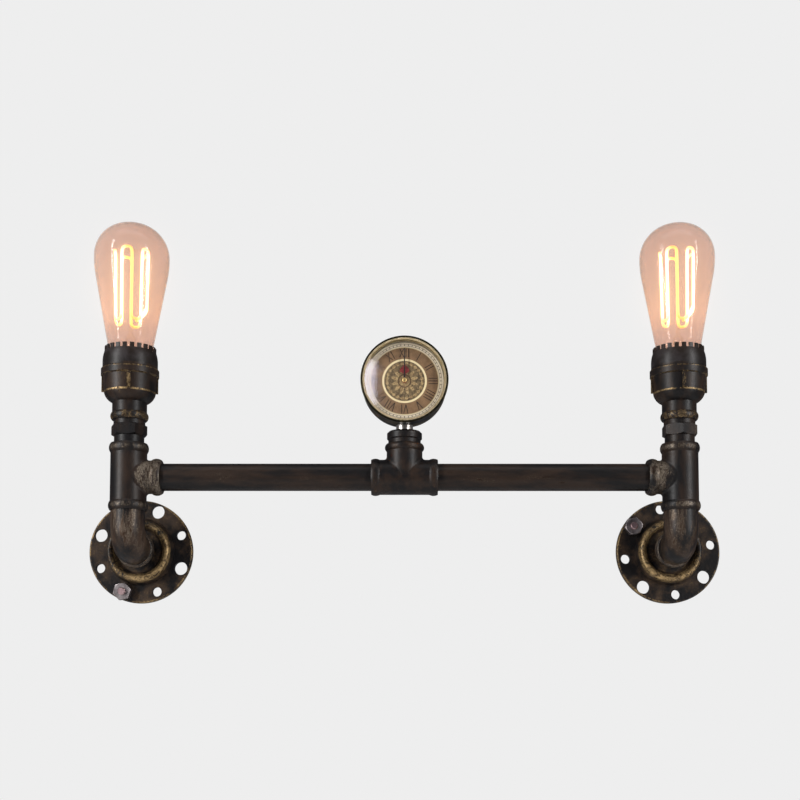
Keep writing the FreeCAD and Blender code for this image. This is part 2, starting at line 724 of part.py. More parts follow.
def make_bar_pipe(side, sign):
    """One half of the bar, from the centre tee to the end tee."""
    body = new_body(f"{side}_bar_pipe")
    length = S.upright_span / 2 - S.branch_face - S.centre_face
    turn(body, [
        (S.pipe_bore, -S.thread_depth),
        (MALE, -S.thread_depth),
        (MALE, 0),
        (S.pipe_radius, 0),
        (S.pipe_radius, length),
        (MALE, length),
        (MALE, length + S.thread_depth),
        (S.pipe_bore, length + S.thread_depth)])
    seat(body, sign * S.centre_face, UPRIGHT_FRONT, S.bar_rise, Rotation(Vector(0, 1, 0), 90 * sign))


# ---------------------------------------------------------------- tees

def make_tee(label, run, branch):
    """A cast tee: a run and a branch with rounded collars, a cast round between them and open bores.
    run and branch are (radius, face, collar length, collar rise)."""
    body = new_body(label)
    radius, face, collar, rise = run
    turn(body, [
        (0, -face),
        (radius, -face, bulge(collar, rise)),
        (radius, collar - face),
        (radius, face - collar, bulge(collar, rise)),
        (radius, face),
        (0, face)])
    side_radius, side_face, side_collar, side_rise = branch
    turn(body, [
        (0, 0),
        (side_face, 0),
        (side_face, side_radius, bulge(side_collar, side_rise)),
        (side_face - side_collar, side_radius),
        (0, side_radius)], axis="H_Axis")
    doc.recompute()
    names = []
    joined = body.Tip
    for number, edge in enumerate(joined.Shape.Edges, start=1):
        if not isinstance(edge.Curve, (Part.Line, Part.Circle)):
            names.append(f"Edge{number}")
    fillet = body.newObject("PartDesign::Fillet", "CastRound")
    fillet.Base = (joined, names)
    fillet.Radius = S.tee_fillet.value
    fillet.setExpression("Radius", S.tee_fillet.text)
    bore(body, FEMALE, -face, face)
    bore(body, FEMALE, as_size(0), side_face, axis="H_Axis")
    return body


def make_end_tee(side, across):
    """Tee at the end of the bar, its branch towards the middle."""
    tee = make_tee(f"{side}_end_tee",
                   (S.tee_radius, S.tee_face, S.run_collar, S.run_collar_rise),
                   (S.branch_radius, S.branch_face, S.branch_collar, S.branch_collar_rise))
    turned = Rotation(Vector(0, 0, 1), 180 if side == "right" else 0)
    seat(tee, across, UPRIGHT_FRONT, S.bar_rise, turned)


def make_centre_tee():
    """Tee in the middle of the bar, its branch up to the clock."""
    tee = make_tee("centre_tee",
                   (S.centre_radius, S.centre_face, S.centre_collar, S.centre_collar_rise),
                   (S.centre_branch_radius, S.centre_branch_face, S.centre_branch_collar,
                    S.centre_branch_rise))
    seat(tee, 0, UPRIGHT_FRONT, S.bar_rise, BRANCH_UP)


# ---------------------------------------------------------------- hexagon nipple and cup

def make_hex_nipple(side, across):
    """Nipple between the tee and the cup, with a hexagon for the spanner."""
    body = new_body(f"{side}_hex_nipple")
    hexagon_foot = S.shoulder_length
    top = hexagon_foot + S.hexagon_height + S.groove_length
    turn(body, [
        (S.pipe_bore, -S.thread_depth),
        (MALE, -S.thread_depth),
        (MALE, 0),
        (S.shoulder_radius, 0),
        (S.shoulder_radius, hexagon_foot + S.overlap),
        (S.groove_radius, hexagon_foot + S.overlap),
        (S.groove_radius, top),
        (MALE, top),
        (MALE, top + S.upper_thread),
        (S.pipe_bore, top + S.upper_thread)])
    hexagon(body, S.hexagon_flats, hexagon_foot, S.hexagon_height)
    break_corners(body, S.hexagon_flats, hexagon_foot, S.hexagon_height)
    bore(body, S.pipe_bore, hexagon_foot, hexagon_foot + S.hexagon_height)
    seat(body, across, UPRIGHT_FRONT, TEE_TOP, Rotation(Vector(0, 0, 1), HEXAGON_TURN[side]))


HEXAGON_TURN = {"left": 0, "right": 30}          # degrees that each hexagon ended up turned


def make_lamp_cup(side, across):
    """Reducing cup: a ring, a neck, a bowl-shaped shoulder with casting ribs and a band at the rim."""
    body = new_body(f"{side}_lamp_cup")
    web_top = S.cup_neck_top + S.cup_web - S.core_gap
    slope_foot = S.cup_neck - S.overlap
    turn(body, [
        (FEMALE, 0),
        (S.cup_neck, 0, bulge(S.cup_ring, S.cup_ring_rise)),
        (S.cup_neck, S.cup_ring),
        (S.cup_neck, S.cup_neck_top, S.cup_shoulder_round),
        (S.cup_shoulder, S.cup_shoulder_top),
        (S.cup_belly, S.cup_band_foot),
        (S.cup_band, S.cup_band_foot + S.cup_band_edge),
        (S.cup_band, S.cup_band_top),
        (S.cup_rim, S.cup_band_top + S.cup_band_edge),
        (S.cup_rim, S.cup_height),
        (S.cup_cavity, S.cup_height),
        (S.cup_cavity, S.cup_shoulder_top),
        (slope_foot, web_top),
        (S.tube_radius + S.thread_gap, web_top),
        (S.tube_radius + S.thread_gap, S.cup_neck_top - S.core_gap),
        (FEMALE, S.cup_neck_top - S.core_gap)])
    foot = S.cup_shoulder_top + S.rib_foot
    inside = S.cup_cavity + S.overlap
    outside = S.cup_belly + S.rib_rise
    half = S.rib_width / 2
    section = outline(new_sketch(body, "XY_Plane", foot),
                      [(inside, -half), (outside, -half), (outside, half), (inside, half)])
    rib = raise_pad(body, section, S.cup_band_foot + S.cup_band_edge / 2 - foot)
    around(body, rib, S.rib_count)
    seat(body, across, UPRIGHT_FRONT, CUP_FOOT, Rotation(Vector(0, 0, 1), RIB_TURN[side]))


RIB_TURN = {"left": -80, "right": -92}           # where the first casting rib stands


# ---------------------------------------------------------------- lampholder

def make_holder_tube(side, across):
    """Threaded tube that draws the lampholder down onto the cup's web and lets the lead through."""
    body = new_body(f"{side}_holder_tube")
    foot = -(S.cup_web + S.locknut_height + S.tube_end)
    turn(body, [
        (S.tube_bore, foot),
        (S.tube_radius, foot),
        (S.tube_radius, S.core_floor - S.tube_end),
        (S.tube_bore, S.core_floor - S.tube_end)])
    seat(body, across, UPRIGHT_FRONT, CAVITY_FLOOR)


def make_locknut(side, across):
    """Locknut on the threaded tube, under the cup's web."""
    nut = make_nut(f"{side}_locknut", S.locknut_flats, S.locknut_height, S.tube_radius + S.thread_gap)
    seat(nut, across, UPRIGHT_FRONT, CAVITY_FLOOR - S.cup_web - S.locknut_height)
    return nut


def make_holder_core(side, across):
    """Insulating base of the lampholder, with a hollow for the contacts."""
    body = new_body(f"{side}_holder_core")
    rim = S.cup_cavity - S.core_gap
    foot = S.cup_neck - S.overlap - S.core_gap * 2
    shoulder = S.cup_shoulder_top - S.cup_neck_top - S.cup_web + S.core_gap * 2
    hollow = S.shell_bore + S.shell_wall + S.thread_gap
    turn(body, [
        (S.tube_radius + S.thread_gap, 0),
        (foot, 0),
        (rim, shoulder),
        (rim, S.core_height),
        (hollow, S.core_height),
        (hollow, S.core_floor),
        (S.tube_radius + S.thread_gap, S.core_floor)])
    for sign in (-1, 1):
        hole = round_outline(new_sketch(body, "XY_Plane", S.core_floor),
                             sign * S.screw_place, 0, S.screw_radius + S.thread_gap)
        pocket(body, hole, S.core_floor - S.screw_foot + S.clearance, into_normal=False)
    seat(body, across, UPRIGHT_FRONT, CAVITY_FLOOR)


def make_screw_shell(side, across):
    """Brass screw shell, with a lug at its foot for the terminal screw."""
    body = new_body(f"{side}_screw_shell")
    outside = S.shell_bore + S.shell_wall
    turn(body, [
        (S.shell_bore, S.core_floor),
        (outside, S.core_floor),
        (outside, S.shell_top),
        (S.shell_bore, S.shell_top)])
    half = S.tongue_width / 2
    lug_start = S.tube_radius + S.overlap
    lug_end = S.shell_bore + S.thread_gap
    lug = outline(new_sketch(body, "XY_Plane", S.core_floor), [
        (lug_start, -half), (lug_end, -half), (lug_end, half), (lug_start, half)])
    raise_pad(body, lug, S.strip)
    hole = round_outline(new_sketch(body, "XY_Plane", S.core_floor), S.screw_place, 0,
                         S.screw_radius + S.thread_gap)
    pocket(body, hole, S.strip)
    seat(body, across, UPRIGHT_FRONT, CAVITY_FLOOR)


def make_centre_contact(side, across):
    """Springy strip that rises under the lamp's tip."""
    body = new_body(f"{side}_centre_contact")
    end = S.clearance * 2 - S.shell_bore
    bend = S.screw_head + S.clearance - S.screw_place
    rise = -S.tongue_width / 2
    tongue_end = S.tip_radius * 0.7
    floor = S.core_floor
    top = S.tongue_rise
    strip = S.strip
    side_view = outline(new_sketch(body, "XZ_Plane"), [
        (end, floor),
        (bend, floor),
        (rise, top - strip),
        (tongue_end, top - strip),
        (tongue_end, top),
        (rise - strip / 2, top),
        (bend - strip / 2, floor + strip),
        (end, floor + strip)])
    raise_pad(body, side_view, S.tongue_width, centred=True)
    hole = round_outline(new_sketch(body, "XY_Plane", floor), -S.screw_place, 0,
                         S.screw_radius + S.thread_gap)
    pocket(body, hole, strip)
    seat(body, across, UPRIGHT_FRONT, CAVITY_FLOOR)


def make_terminal_screw(side, across, sign):
    """Screw that clamps a conductor onto a contact."""
    body = new_body(f"{side}_terminal_screw_{'a' if sign < 0 else 'b'}", keep=False)
    seat_height = S.core_floor + S.strip
    top = seat_height + S.screw_head_height
    turn(body, [
        (0, S.screw_foot),
        (S.screw_radius, S.screw_foot),
        (S.screw_radius, seat_height),
        (S.screw_head, seat_height),
        (S.screw_head, top),
        (0, top)])
    seat(body, across + sign * S.screw_place, UPRIGHT_FRONT, CAVITY_FLOOR)
    return body


def make_holder_ring(side, across):
    """Black outer ring of the lampholder, with a toothed crown round the lamp's neck."""
    body = new_body(f"{side}_holder_ring")
    skirt = S.cup_cavity - S.core_gap
    inside = S.shell_bore + S.shell_wall + S.core_gap
    foot = CAVITY_FLOOR + S.core_height - CUP_RIM
    shell_end = CAVITY_FLOOR + S.shell_top - CUP_RIM
    top = S.ring_height + S.tooth_height
    turn(body, [
        (inside, foot),
        (skirt, foot),
        (skirt, 0),
        (S.ring_foot, 0),
        (S.ring_foot, S.ring_straight, S.ring_round),
        (S.ring_top, S.ring_height),
        (S.ring_top, top),
        (S.ring_mouth, top),
        (S.ring_mouth, S.ring_height),
        (inside, shell_end)])
    half = S.tooth_gap / 2
    near = S.ring_mouth - S.overlap
    far = S.ring_top + S.overlap
    notch = outline(new_sketch(body, "XY_Plane", S.ring_height), [
        (near, -half), (far, -half), (far, half), (near, half)])
    around(body, pocket(body, notch, S.tooth_height + S.overlap), S.tooth_count)
    seat(body, across, UPRIGHT_FRONT, CUP_RIM)


# ---------------------------------------------------------------- lamp

def glass_corners(inset):
    """The glass's outline from its neck to the crown, drawn in by the inset: a curved neck, a straight
    flank, a shoulder, and two arcs that meet smoothly in the crown."""
    crown = S.crown_round - inset
    widest = S.glass_radius - inset
    crown_centre = S.lamp_height - S.crown_round
    lift = GLASS_MIDDLE - crown_centre
    side_round = (crown * crown - widest * widest - lift * lift) / (2 * (crown - widest))
    share = crown / (crown - side_round)
    neck = S.cap_radius - S.cap_wall - S.thread_gap * 2 - inset
    return [
        (neck, S.cap_top - S.glass_seat),
        (neck, S.cap_top + S.clearance),
        (S.neck_radius - inset, S.neck_top),
        (S.flank_radius - inset, FLANK_TOP, S.shoulder_round),
        (widest, GLASS_MIDDLE, side_round),
        (share * (widest - side_round), crown_centre + share * lift, crown),
        (0, S.lamp_height - inset)]


def make_bulb_glass(side, across):
    """Drawn-out glass envelope, open at the neck where the stem is sealed in."""
    body = new_body(f"{side}_bulb_glass")
    turn(body, [(0, S.cap_top - S.glass_seat)] + glass_corners(as_size(0)))
    turn(body, [(0, S.cap_top - S.glass_seat)] + glass_corners(S.glass_wall), cut=True)
    seat(body, across, UPRIGHT_FRONT, LAMP_TIP)


def make_bulb_cap(side, across):
    """Brass screw cap of the lamp."""
    body = new_body(f"{side}_bulb_cap")
    foot = S.tip_height + S.insulator_height
    inside = S.cap_radius - S.cap_wall
    turned_in = S.cap_wall + S.cap_curl
    turn(body, [
        (inside - S.cap_curl, foot),
        (S.cap_radius - S.cap_curl, foot),
        (S.cap_radius, foot + turned_in),
        (S.cap_radius, S.cap_top),
        (inside, S.cap_top),
        (inside, foot + turned_in),
        (inside - S.cap_curl, foot + S.cap_wall)])
    seat(body, across, UPRIGHT_FRONT, LAMP_TIP)


def make_bulb_insulator(side, across):
    """Black glass between the cap and the tip contact."""
    body = new_body(f"{side}_bulb_insulator")
    foot = S.tip_height
    rim = S.cap_radius - S.cap_curl - S.clearance
    turn(body, [
        (0, foot),
        (S.tip_radius + S.clearance, foot),
        (rim, foot + S.insulator_height - S.fine_edge),
        (rim, foot + S.insulator_height),
        (0, foot + S.insulator_height)])
    seat(body, across, UPRIGHT_FRONT, LAMP_TIP)


def make_bulb_tip(side, across):
    """Solder contact at the foot of the lamp."""
    body = new_body(f"{side}_bulb_tip")
    edge = S.fine_edge * 2
    turn(body, [
        (0, 0),
        (S.tip_radius - edge, 0),
        (S.tip_radius, edge),
        (S.tip_radius, S.tip_height),
        (0, S.tip_height)])
    seat(body, across, UPRIGHT_FRONT, LAMP_TIP)


STRANDS = 10                                     # strands of the filament's cage
FIRST_STRAND = 18.0                              # degrees at which the first strand stands
HOOKS = 5                                        # wires that hold the turns, at each end
MITRED = 1                                       # a sweep whose corners are sharp


def make_bulb_stem(side, across):
    """Glass stem and rod, with the wires that hold the filament sealed into them."""
    body = new_body(f"{side}_bulb_stem")
    flare = S.cap_radius - S.cap_wall - S.thread_gap * 4 - S.glass_wall
    foot = S.cap_top - S.glass_seat
    rod = S.rod_radius
    bead = S.rod_bead
    slope = bead - rod
    turn(body, [
        (0, foot),
        (flare, foot),
        (flare, foot + S.overlap),
        (S.stem_tube, foot + S.stem_flare),
        (S.stem_tube, S.stem_pinch - S.pinch_slope),
        (rod, S.stem_pinch + S.pinch_slope),
        (rod, ROD_TOP - bead - slope),
        (bead, ROD_TOP - bead),
        (bead, ROD_TOP - slope / 2),
        (0, ROD_TOP)])
    turn_share = math.cos(math.radians(180 / STRANDS))
    for reach, height, start in ((S.cage_radius, CAGE_TOP, 1), (S.cage_foot, S.cage_bottom, 2)):
        wires = reach * turn_share - S.strand_radius - S.hook_radius
        sketch = outline(new_sketch(body, "XZ_Plane"), [
            (rod / 2, height - S.hook_radius),
            (wires, height - S.hook_radius),
            (wires, height + S.hook_radius),
            (rod / 2, height + S.hook_radius)])
        turn_sketch(sketch, FIRST_STRAND + 180 / STRANDS * (2 * start - 1))
        hook = raise_pad(body, sketch, S.hook_radius * 2, centred=True)
        around(body, hook, HOOKS)
    seat(body, across, UPRIGHT_FRONT, LAMP_TIP)


def make_filament(side, across):
    """One wire that runs up and down round the stem as a cage of strands, with a flat turn over each hook
    and an end that reaches in to the stem at each side."""
    points = []
    for strand in range(STRANDS):
        angle = math.radians(FIRST_STRAND + strand * 360 / STRANDS)
        upper = Vector(0, 0, CAGE_TOP.value)
        upper += Vector(math.cos(angle), math.sin(angle), 0) * S.cage_radius.value
        lower = Vector(0, 0, S.cage_bottom.value)
        lower += Vector(math.cos(angle), math.sin(angle), 0) * S.cage_foot.value
        points += [lower, upper] if strand % 2 == 0 else [upper, lower]
    entry = S.stem_tube.value + S.strand_radius.value + S.thread_gap.value
    entry_height = S.stem_pinch.value - 2 * S.pinch_slope.value
    for end, spot in ((0, points[0]), (len(points) + 1, points[-1])):
        inner = Vector(spot.x, spot.y, 0).normalize() * entry
        points.insert(end, Vector(inner.x, inner.y, entry_height))
    along = (points[1] - points[0]).normalize()
    sideways = along.cross(Vector(0, 0, 1)).normalize()
    upwards = sideways.cross(along)
    corners = []
    for step in range(7):
        angle = math.radians(60 * step)
        offset = sideways * math.cos(angle) + upwards * math.sin(angle)
        corners.append(points[0] + offset * S.strand_radius.value)
    feature = solid_along(f"{side}_filament", Part.makePolygon(points), Part.makePolygon(corners), MITRED)
    seat(feature, across, UPRIGHT_FRONT, LAMP_TIP)


# ---------------------------------------------------------------- clock mounting

def make_gauge_bush():
    """Bush screwed into the centre tee, with a collar that holds the clock's stem."""
    body = new_body("gauge_bush")
    inside = S.stem_radius + S.thread_gap
    neck = S.bush_neck_length
    top = S.bush_height
    turn(body, [
        (inside, -S.thread_depth),
        (MALE, -S.thread_depth),
        (MALE, 0),
        (S.bush_neck, 0),
        (S.bush_neck, neck),
        (S.bush_radius, neck + S.bush_radius - S.bush_neck),
        (S.bush_radius, top - S.bush_chamfer),
        (S.bush_radius - S.bush_chamfer, top),
        (inside, top)])
    seat(body, 0, UPRIGHT_FRONT, S.bar_rise + S.centre_branch_face)


def make_gauge_stem():
    """Stem of the clock: hollowed to the case on top, with a stud that passes through the case."""
    body = new_body("gauge_stem")
    foot = S.centre_branch_face + S.bush_height - S.stem_depth - S.clock_rise
    under_case = S.stem_radius - S.case_radius
    turn(body, [(0, foot), (S.stem_radius, foot), (S.stem_radius, under_case), (0, under_case)])
    saddle = round_outline(new_sketch(body, "XZ_Plane"), 0, 0, S.case_radius)
    cut = body.newObject("PartDesign::Pocket", "Saddle")
    cut.Profile = saddle
    cut.Length = S.stem_radius.value * 3
    cut.setExpression("Length", (S.stem_radius * 3).text)
    cut.SideType = "Symmetric"
    stud_top = S.case_wall + S.stud_nut_height + S.clearance * 2 - S.case_radius
    turn(body, [(0, foot), (S.stud_radius, foot), (S.stud_radius, stud_top), (0, stud_top)])
    seat(body, 0, UPRIGHT_FRONT, CLOCK_AXIS)


def make_stem_nut():
    """Nut inside the case on the stem's stud."""
    nut = make_nut("stem_nut", S.stud_nut_flats, S.stud_nut_height, S.stud_radius + S.thread_gap, keep=True)
    inside = S.case_radius - S.case_wall
    half = S.stud_nut_flats / 2
    chord = root(inside * inside - half * half)
    seat(nut, 0, UPRIGHT_FRONT, CLOCK_AXIS - chord + S.thread_gap * 2, Rotation(Vector(0, 0, 1), 90))


# ---------------------------------------------------------------- clock

def make_clock_case():
    """Drum-shaped case, closed at the back, with a hole under it for the stem's stud."""
    body = new_body("clock_case")
    wall = S.case_wall
    turn(body, [
        (0, 0),
        (S.case_radius - S.case_edge, 0, S.case_edge),
        (S.case_radius, S.case_edge),
        (S.case_radius, S.case_depth),
        (S.case_radius - wall, S.case_depth),
        (S.case_radius - wall, S.case_edge, -(S.case_edge - wall)),
        (S.case_radius - S.case_edge, wall),
        (0, wall)])
    hole = round_outline(new_sketch(body, "XZ_Plane"), 0, S.case_back, S.stud_radius + S.thread_gap)
    pocket(body, hole, S.case_radius + S.overlap)
    seat(body, 0, CASE_BACK, CLOCK_AXIS, ON_WALL)


def make_clock_bezel():
    """Bezel ring that holds the lens and covers the case's front edge."""
    body = new_body("clock_bezel")
    back = BEZEL_BACK
    front = back + S.bezel_depth
    lens_seat = front - S.lens_set_back
    mouth = BEZEL_RADIUS - S.bezel_width
    groove = mouth + S.lens_hold
    inside = groove - S.can_wall - S.insert_gap
    groove_back = lens_seat - S.lens_depth - S.thread_gap * 2
    edge = S.bezel_edge
    turn(body, [
        (inside, back),
        (BEZEL_RADIUS - S.fine_edge, back),
        (BEZEL_RADIUS, back + S.fine_edge),
        (BEZEL_RADIUS, front - edge, edge),
        (BEZEL_RADIUS - edge, front),
        (mouth + S.lens_set_back / 2, front),
        (mouth, lens_seat + S.lens_set_back / 2),
        (mouth, lens_seat),
        (groove, lens_seat),
        (groove, groove_back),
        (inside, groove_back)])
    seat(body, 0, CASE_BACK, CLOCK_AXIS, ON_WALL)


def make_clock_lens():
    """Flat lens, dropped into the bezel from behind."""
    body = new_body("clock_lens")
    front = BEZEL_BACK + S.bezel_depth - S.lens_set_back
    rim = BEZEL_RADIUS - S.bezel_width + S.lens_hold - S.thread_gap
    turn(body, [(0, front - S.lens_depth), (rim, front - S.lens_depth), (rim, front), (0, front)])
    seat(body, 0, CASE_BACK, CLOCK_AXIS, ON_WALL)


def make_clock_can():
    """Stepped can behind the bezel: the dial rests on its step, and the movement sits in its waist."""
    body = new_body("clock_can")
    wide = CAN_RADIUS
    waist = wide - S.can_waist
    wall = S.can_wall
    step = BEZEL_BACK - S.can_step
    turn(body, [
        (0, CAN_BACK),
        (waist, CAN_BACK),
        (waist, step),
        (wide, step),
        (wide, BEZEL_BACK),
        (wide - wall, BEZEL_BACK),
        (wide - wall, step + wall),
        (waist - wall, step + wall),
        (waist - wall, CAN_BACK + wall),
        (0, CAN_BACK + wall)])
    for across, radius in ((S.knob_place, S.shaft_radius + S.clearance * 2),
                           (-S.cell_place, S.cell_radius + S.clearance * 2)):
        hole = round_outline(new_sketch(body, "XY_Plane", CAN_BACK), across, 0, radius)
        pocket(body, hole, wall)
    seat(body, 0, CASE_BACK, CLOCK_AXIS, ON_WALL)


def make_clock_gasket():
    """Rubber band round the can's waist, whose grip keeps the insert in the case."""
    body = new_body("clock_gasket")
    inside = CAN_RADIUS - S.can_waist
    outside = CAN_RADIUS + S.insert_gap - S.running_gap * 2
    edge = S.fine_edge
    low = CAN_BACK + edge * 2
    high = BEZEL_BACK - S.can_step - edge * 2
    turn(body, [(inside, low), (outside - edge, low), (outside, low + edge), (outside, high - edge),
                (outside - edge, high), (inside, high)])
    seat(body, 0, CASE_BACK, CLOCK_AXIS, ON_WALL)


def make_clock_dial():
    """Thin printed dial on the can's step."""
    body = new_body("clock_dial")
    rim = CAN_RADIUS - S.can_wall - S.thread_gap
    centre = S.hour_pipe_radius + S.running_gap
    turn(body, [(centre, DIAL_FACE - S.dial_thickness), (rim, DIAL_FACE - S.dial_thickness),
                (rim, DIAL_FACE), (centre, DIAL_FACE)])
    seat(body, 0, CASE_BACK, CLOCK_AXIS, ON_WALL)


def make_clock_movement():
    """Quartz movement: a moulded box with a centre boss, a cell pocket and a hole for the knob."""
    body = new_body("clock_movement")
    half = S.movement_side / 2
    cut = half - S.movement_corner
    low = CAN_BACK + S.can_wall
    box = outline(new_sketch(body, "XY_Plane", low), [
        (-half, -cut), (-cut, -half), (cut, -half), (half, -cut),
        (half, cut), (cut, half), (-cut, half), (-half, cut)])
    raise_pad(body, box, MOVEMENT_DEPTH)
    back_of_dial = DIAL_FACE - S.dial_thickness
    boss = round_outline(new_sketch(body, "XY_Plane", low), 0, 0, S.hour_pipe_radius * 3)
    raise_pad(body, boss, back_of_dial - low)
    bore(body, S.hour_pipe_radius + S.running_gap, MOVEMENT_FLOOR, back_of_dial)
    slack = S.thread_gap * 2
    cell = round_outline(new_sketch(body, "XY_Plane", low), -S.cell_place, 0, S.cell_radius + slack)
    pocket(body, cell, S.cell_height + slack)
    shaft = round_outline(new_sketch(body, "XY_Plane", low), S.knob_place, 0, S.shaft_radius + S.running_gap)
    pocket(body, shaft, S.shaft_depth)
    seat(body, 0, CASE_BACK, CLOCK_AXIS, ON_WALL)


def make_clock_cell():
    """Button cell in the movement's back."""
    body = new_body("clock_cell")
    low = CAN_BACK + S.can_wall
    edge = S.fine_edge * 2
    turn(body, [(0, low), (S.cell_radius - edge, low), (S.cell_radius, low + edge),
                (S.cell_radius, low + S.cell_height), (0, low + S.cell_height)])
    seat(body, -S.cell_place, CASE_BACK, CLOCK_AXIS, ON_WALL)


def make_setting_knob():
    """Knob behind the movement that sets the hands."""
    body = new_body("setting_knob")
    head_top = CAN_BACK - S.clearance
    low = head_top - S.knob_height
    shaft_end = CAN_BACK + S.can_wall + S.shaft_depth - S.clearance
    radius = S.knob_radius
    edge = S.fine_edge
    turn(body, [
        (0, low),
        (radius - edge, low),
        (radius, low + edge),
        (radius, head_top),
        (S.shaft_radius, head_top),
        (S.shaft_radius, shaft_end),
        (0, shaft_end)])
    half = S.knob_slot / 2
    slot = outline(new_sketch(body, "XY_Plane", low), [
        (-radius, -half), (radius, -half), (radius, half), (-radius, half)])
    pocket(body, slot, S.knob_slot)
    seat(body, S.knob_place, CASE_BACK, CLOCK_AXIS, ON_WALL)


# ---------------------------------------------------------------- hands

HOUR_HAND = DIAL_FACE + S.hour_hand_rise
MINUTE_HAND = DIAL_FACE + S.minute_hand_rise
HALF_TURN = 1.001                                # radius over half the chord, for nearly a half turn


def make_hour_pipe():
    """Pipe that turns the hour hand."""
    body = new_body("hour_pipe")
    low = MOVEMENT_FLOOR + S.clearance + S.running_gap
    inside = S.arbor_radius + S.running_gap
    top = HOUR_HAND + S.hand_thickness + S.thread_gap * 2
    turn(body, [(inside, low), (S.hour_pipe_radius, low), (S.hour_pipe_radius, top), (inside, top)])
    seat(body, 0, CASE_BACK, CLOCK_AXIS, ON_WALL)


def make_hour_hand():
    """Spade-shaped hour hand."""
    body = new_body("hour_hand")
    reach = S.hour_reach
    wide = S.spade_width / 2
    hub = S.hour_pipe_radius + S.hub_rim
    shaft = hub * 0.35
    neck = reach * 0.38
    middle = reach * 0.52
    waist = reach * 0.8
    narrow = wide * 0.35
    sketch = outline(new_sketch(body, "XY_Plane", HOUR_HAND), [
        (-hub, 0, hub * HALF_TURN),
        (hub, 0),
        (shaft, hub),
        (shaft, neck),
        (wide, middle, wide * 1.3),
        (narrow, waist),
        (0, reach),
        (-narrow, waist, wide * 1.3),
        (-wide, middle),
        (-shaft, neck),
        (-shaft, hub)])
    raise_pad(body, sketch, S.hand_thickness)
    bore(body, S.hour_pipe_radius, HOUR_HAND - S.overlap, HOUR_HAND + S.overlap)
    seat(body, 0, CASE_BACK, CLOCK_AXIS, ON_WALL)


def make_minute_arbor():
    """Arbor that turns the minute hand, inside the hour pipe."""
    body = new_body("minute_arbor")
    low = MOVEMENT_FLOOR + S.clearance
    top = MINUTE_HAND + S.hand_thickness + S.hand_nut_height
    turn(body, [(0, low), (S.arbor_radius, low), (S.arbor_radius, top), (0, top)])
    seat(body, 0, CASE_BACK, CLOCK_AXIS, ON_WALL)


def make_minute_hand():
    """Slender minute hand with a short tail."""
    body = new_body("minute_hand")
    hub = S.arbor_radius + S.hub_rim
    foot = S.minute_width / 2
    tip = foot * 0.4
    sketch = outline(new_sketch(body, "XY_Plane", MINUTE_HAND), [
        (-hub, 0, hub * HALF_TURN),
        (hub, 0),
        (foot, hub * 1.6),
        (tip, S.minute_reach),
        (-tip, S.minute_reach),
        (-foot, hub * 1.6)])
    raise_pad(body, sketch, S.hand_thickness)
    bore(body, S.arbor_radius, MINUTE_HAND - S.overlap, MINUTE_HAND + S.overlap)
    seat(body, 0, CASE_BACK, CLOCK_AXIS, ON_WALL)


def make_hand_nut():
    """Domed nut that keeps the minute hand on its arbor."""
    body = new_body("hand_nut")
    low = MINUTE_HAND + S.hand_thickness
    turn(body, [
        (S.arbor_radius, low),
        (S.hand_nut_radius, low),
        (S.hand_nut_radius, low + S.hand_nut_height / 3, S.hand_nut_radius),
        (S.arbor_radius, low + S.hand_nut_height)])
    seat(body, 0, CASE_BACK, CLOCK_AXIS, ON_WALL)


# ---------------------------------------------------------------- leads inside the pipes

def make_leads():
    """Two twin leads from the left wall nipple: one up to the left lamp, the other through the bar to the
    right lamp. Each lies on the bottom of the bore where that is level."""
    axis = S.upright_span.value / 2
    front = -S.standoff.value
    spread = S.lead_spread.value
    room = S.pipe_bore.value - S.lead_radius.value - S.lead_gap.value
    low = -math.sqrt(room * room - spread * spread)
    bar = S.bar_rise.value
    end = CAVITY_FLOOR.value + S.core_floor.value + 2 * S.clearance.value
    straight = CUP_FOOT.value
    elbow_turn = S.elbow_bend.value - low
    left_route = [
        Vector(-axis - spread, -S.lead_start.value, low),
        Vector(-axis - spread, front, low),
        Vector(-axis - spread, front, bar + S.pipe_radius.value),
        Vector(-axis, front, straight),
        Vector(-axis, front, end)]
    right_route = [
        Vector(spread - axis, -S.lead_start.value, low),
        Vector(spread - axis, front, low),
        Vector(spread - axis, front, bar - room),
        Vector(axis, front, bar - room),
        Vector(axis, front, end)]
    gentle = S.lead_sway.value
    corner = S.pipe_bore.value
    for label, route, bends in (("left_lead", left_route, [elbow_turn, gentle, gentle]),
                                ("right_lead", right_route, [elbow_turn, corner, corner])):
        wire = swept_wire(route, bends)
        solid_along(label, wire, round_section(wire, S.lead_radius.value))


# ---------------------------------------------------------------- the whole light

def make_side(side, sign, spin):
    """Everything that one side of the light has, but for the grouped fasteners."""
    across = sign * S.upright_span / 2
    make_flange(side, across, spin)
    make_wall_nipple(side, across)
    make_elbow(side, across)
    make_end_tee(side, across)
    make_bar_pipe(side, sign)
    make_hex_nipple(side, across)
    make_lamp_cup(side, across)
    make_holder_tube(side, across)
    make_holder_core(side, across)
    make_screw_shell(side, across)
    make_centre_contact(side, across)
    make_holder_ring(side, across)
    make_bulb_tip(side, across)
    make_bulb_insulator(side, across)
    make_bulb_cap(side, across)
    make_bulb_glass(side, across)
    make_bulb_stem(side, across)
    make_filament(side, across)


def make_clock():
    """The clock and what holds it on the centre tee."""
    make_centre_tee()
    make_gauge_bush()
    make_gauge_stem()
    make_stem_nut()
    make_clock_case()
    make_clock_bezel()
    make_clock_lens()
    make_clock_can()
    make_clock_gasket()
    make_clock_dial()
    make_clock_movement()
    make_clock_cell()
    make_setting_knob()
    make_hour_pipe()
    make_hour_hand()
    make_minute_arbor()
    make_minute_hand()
    make_hand_nut()


SIDES = [("left", -1, S.left_flange_turn), ("right", 1, S.right_flange_turn)]

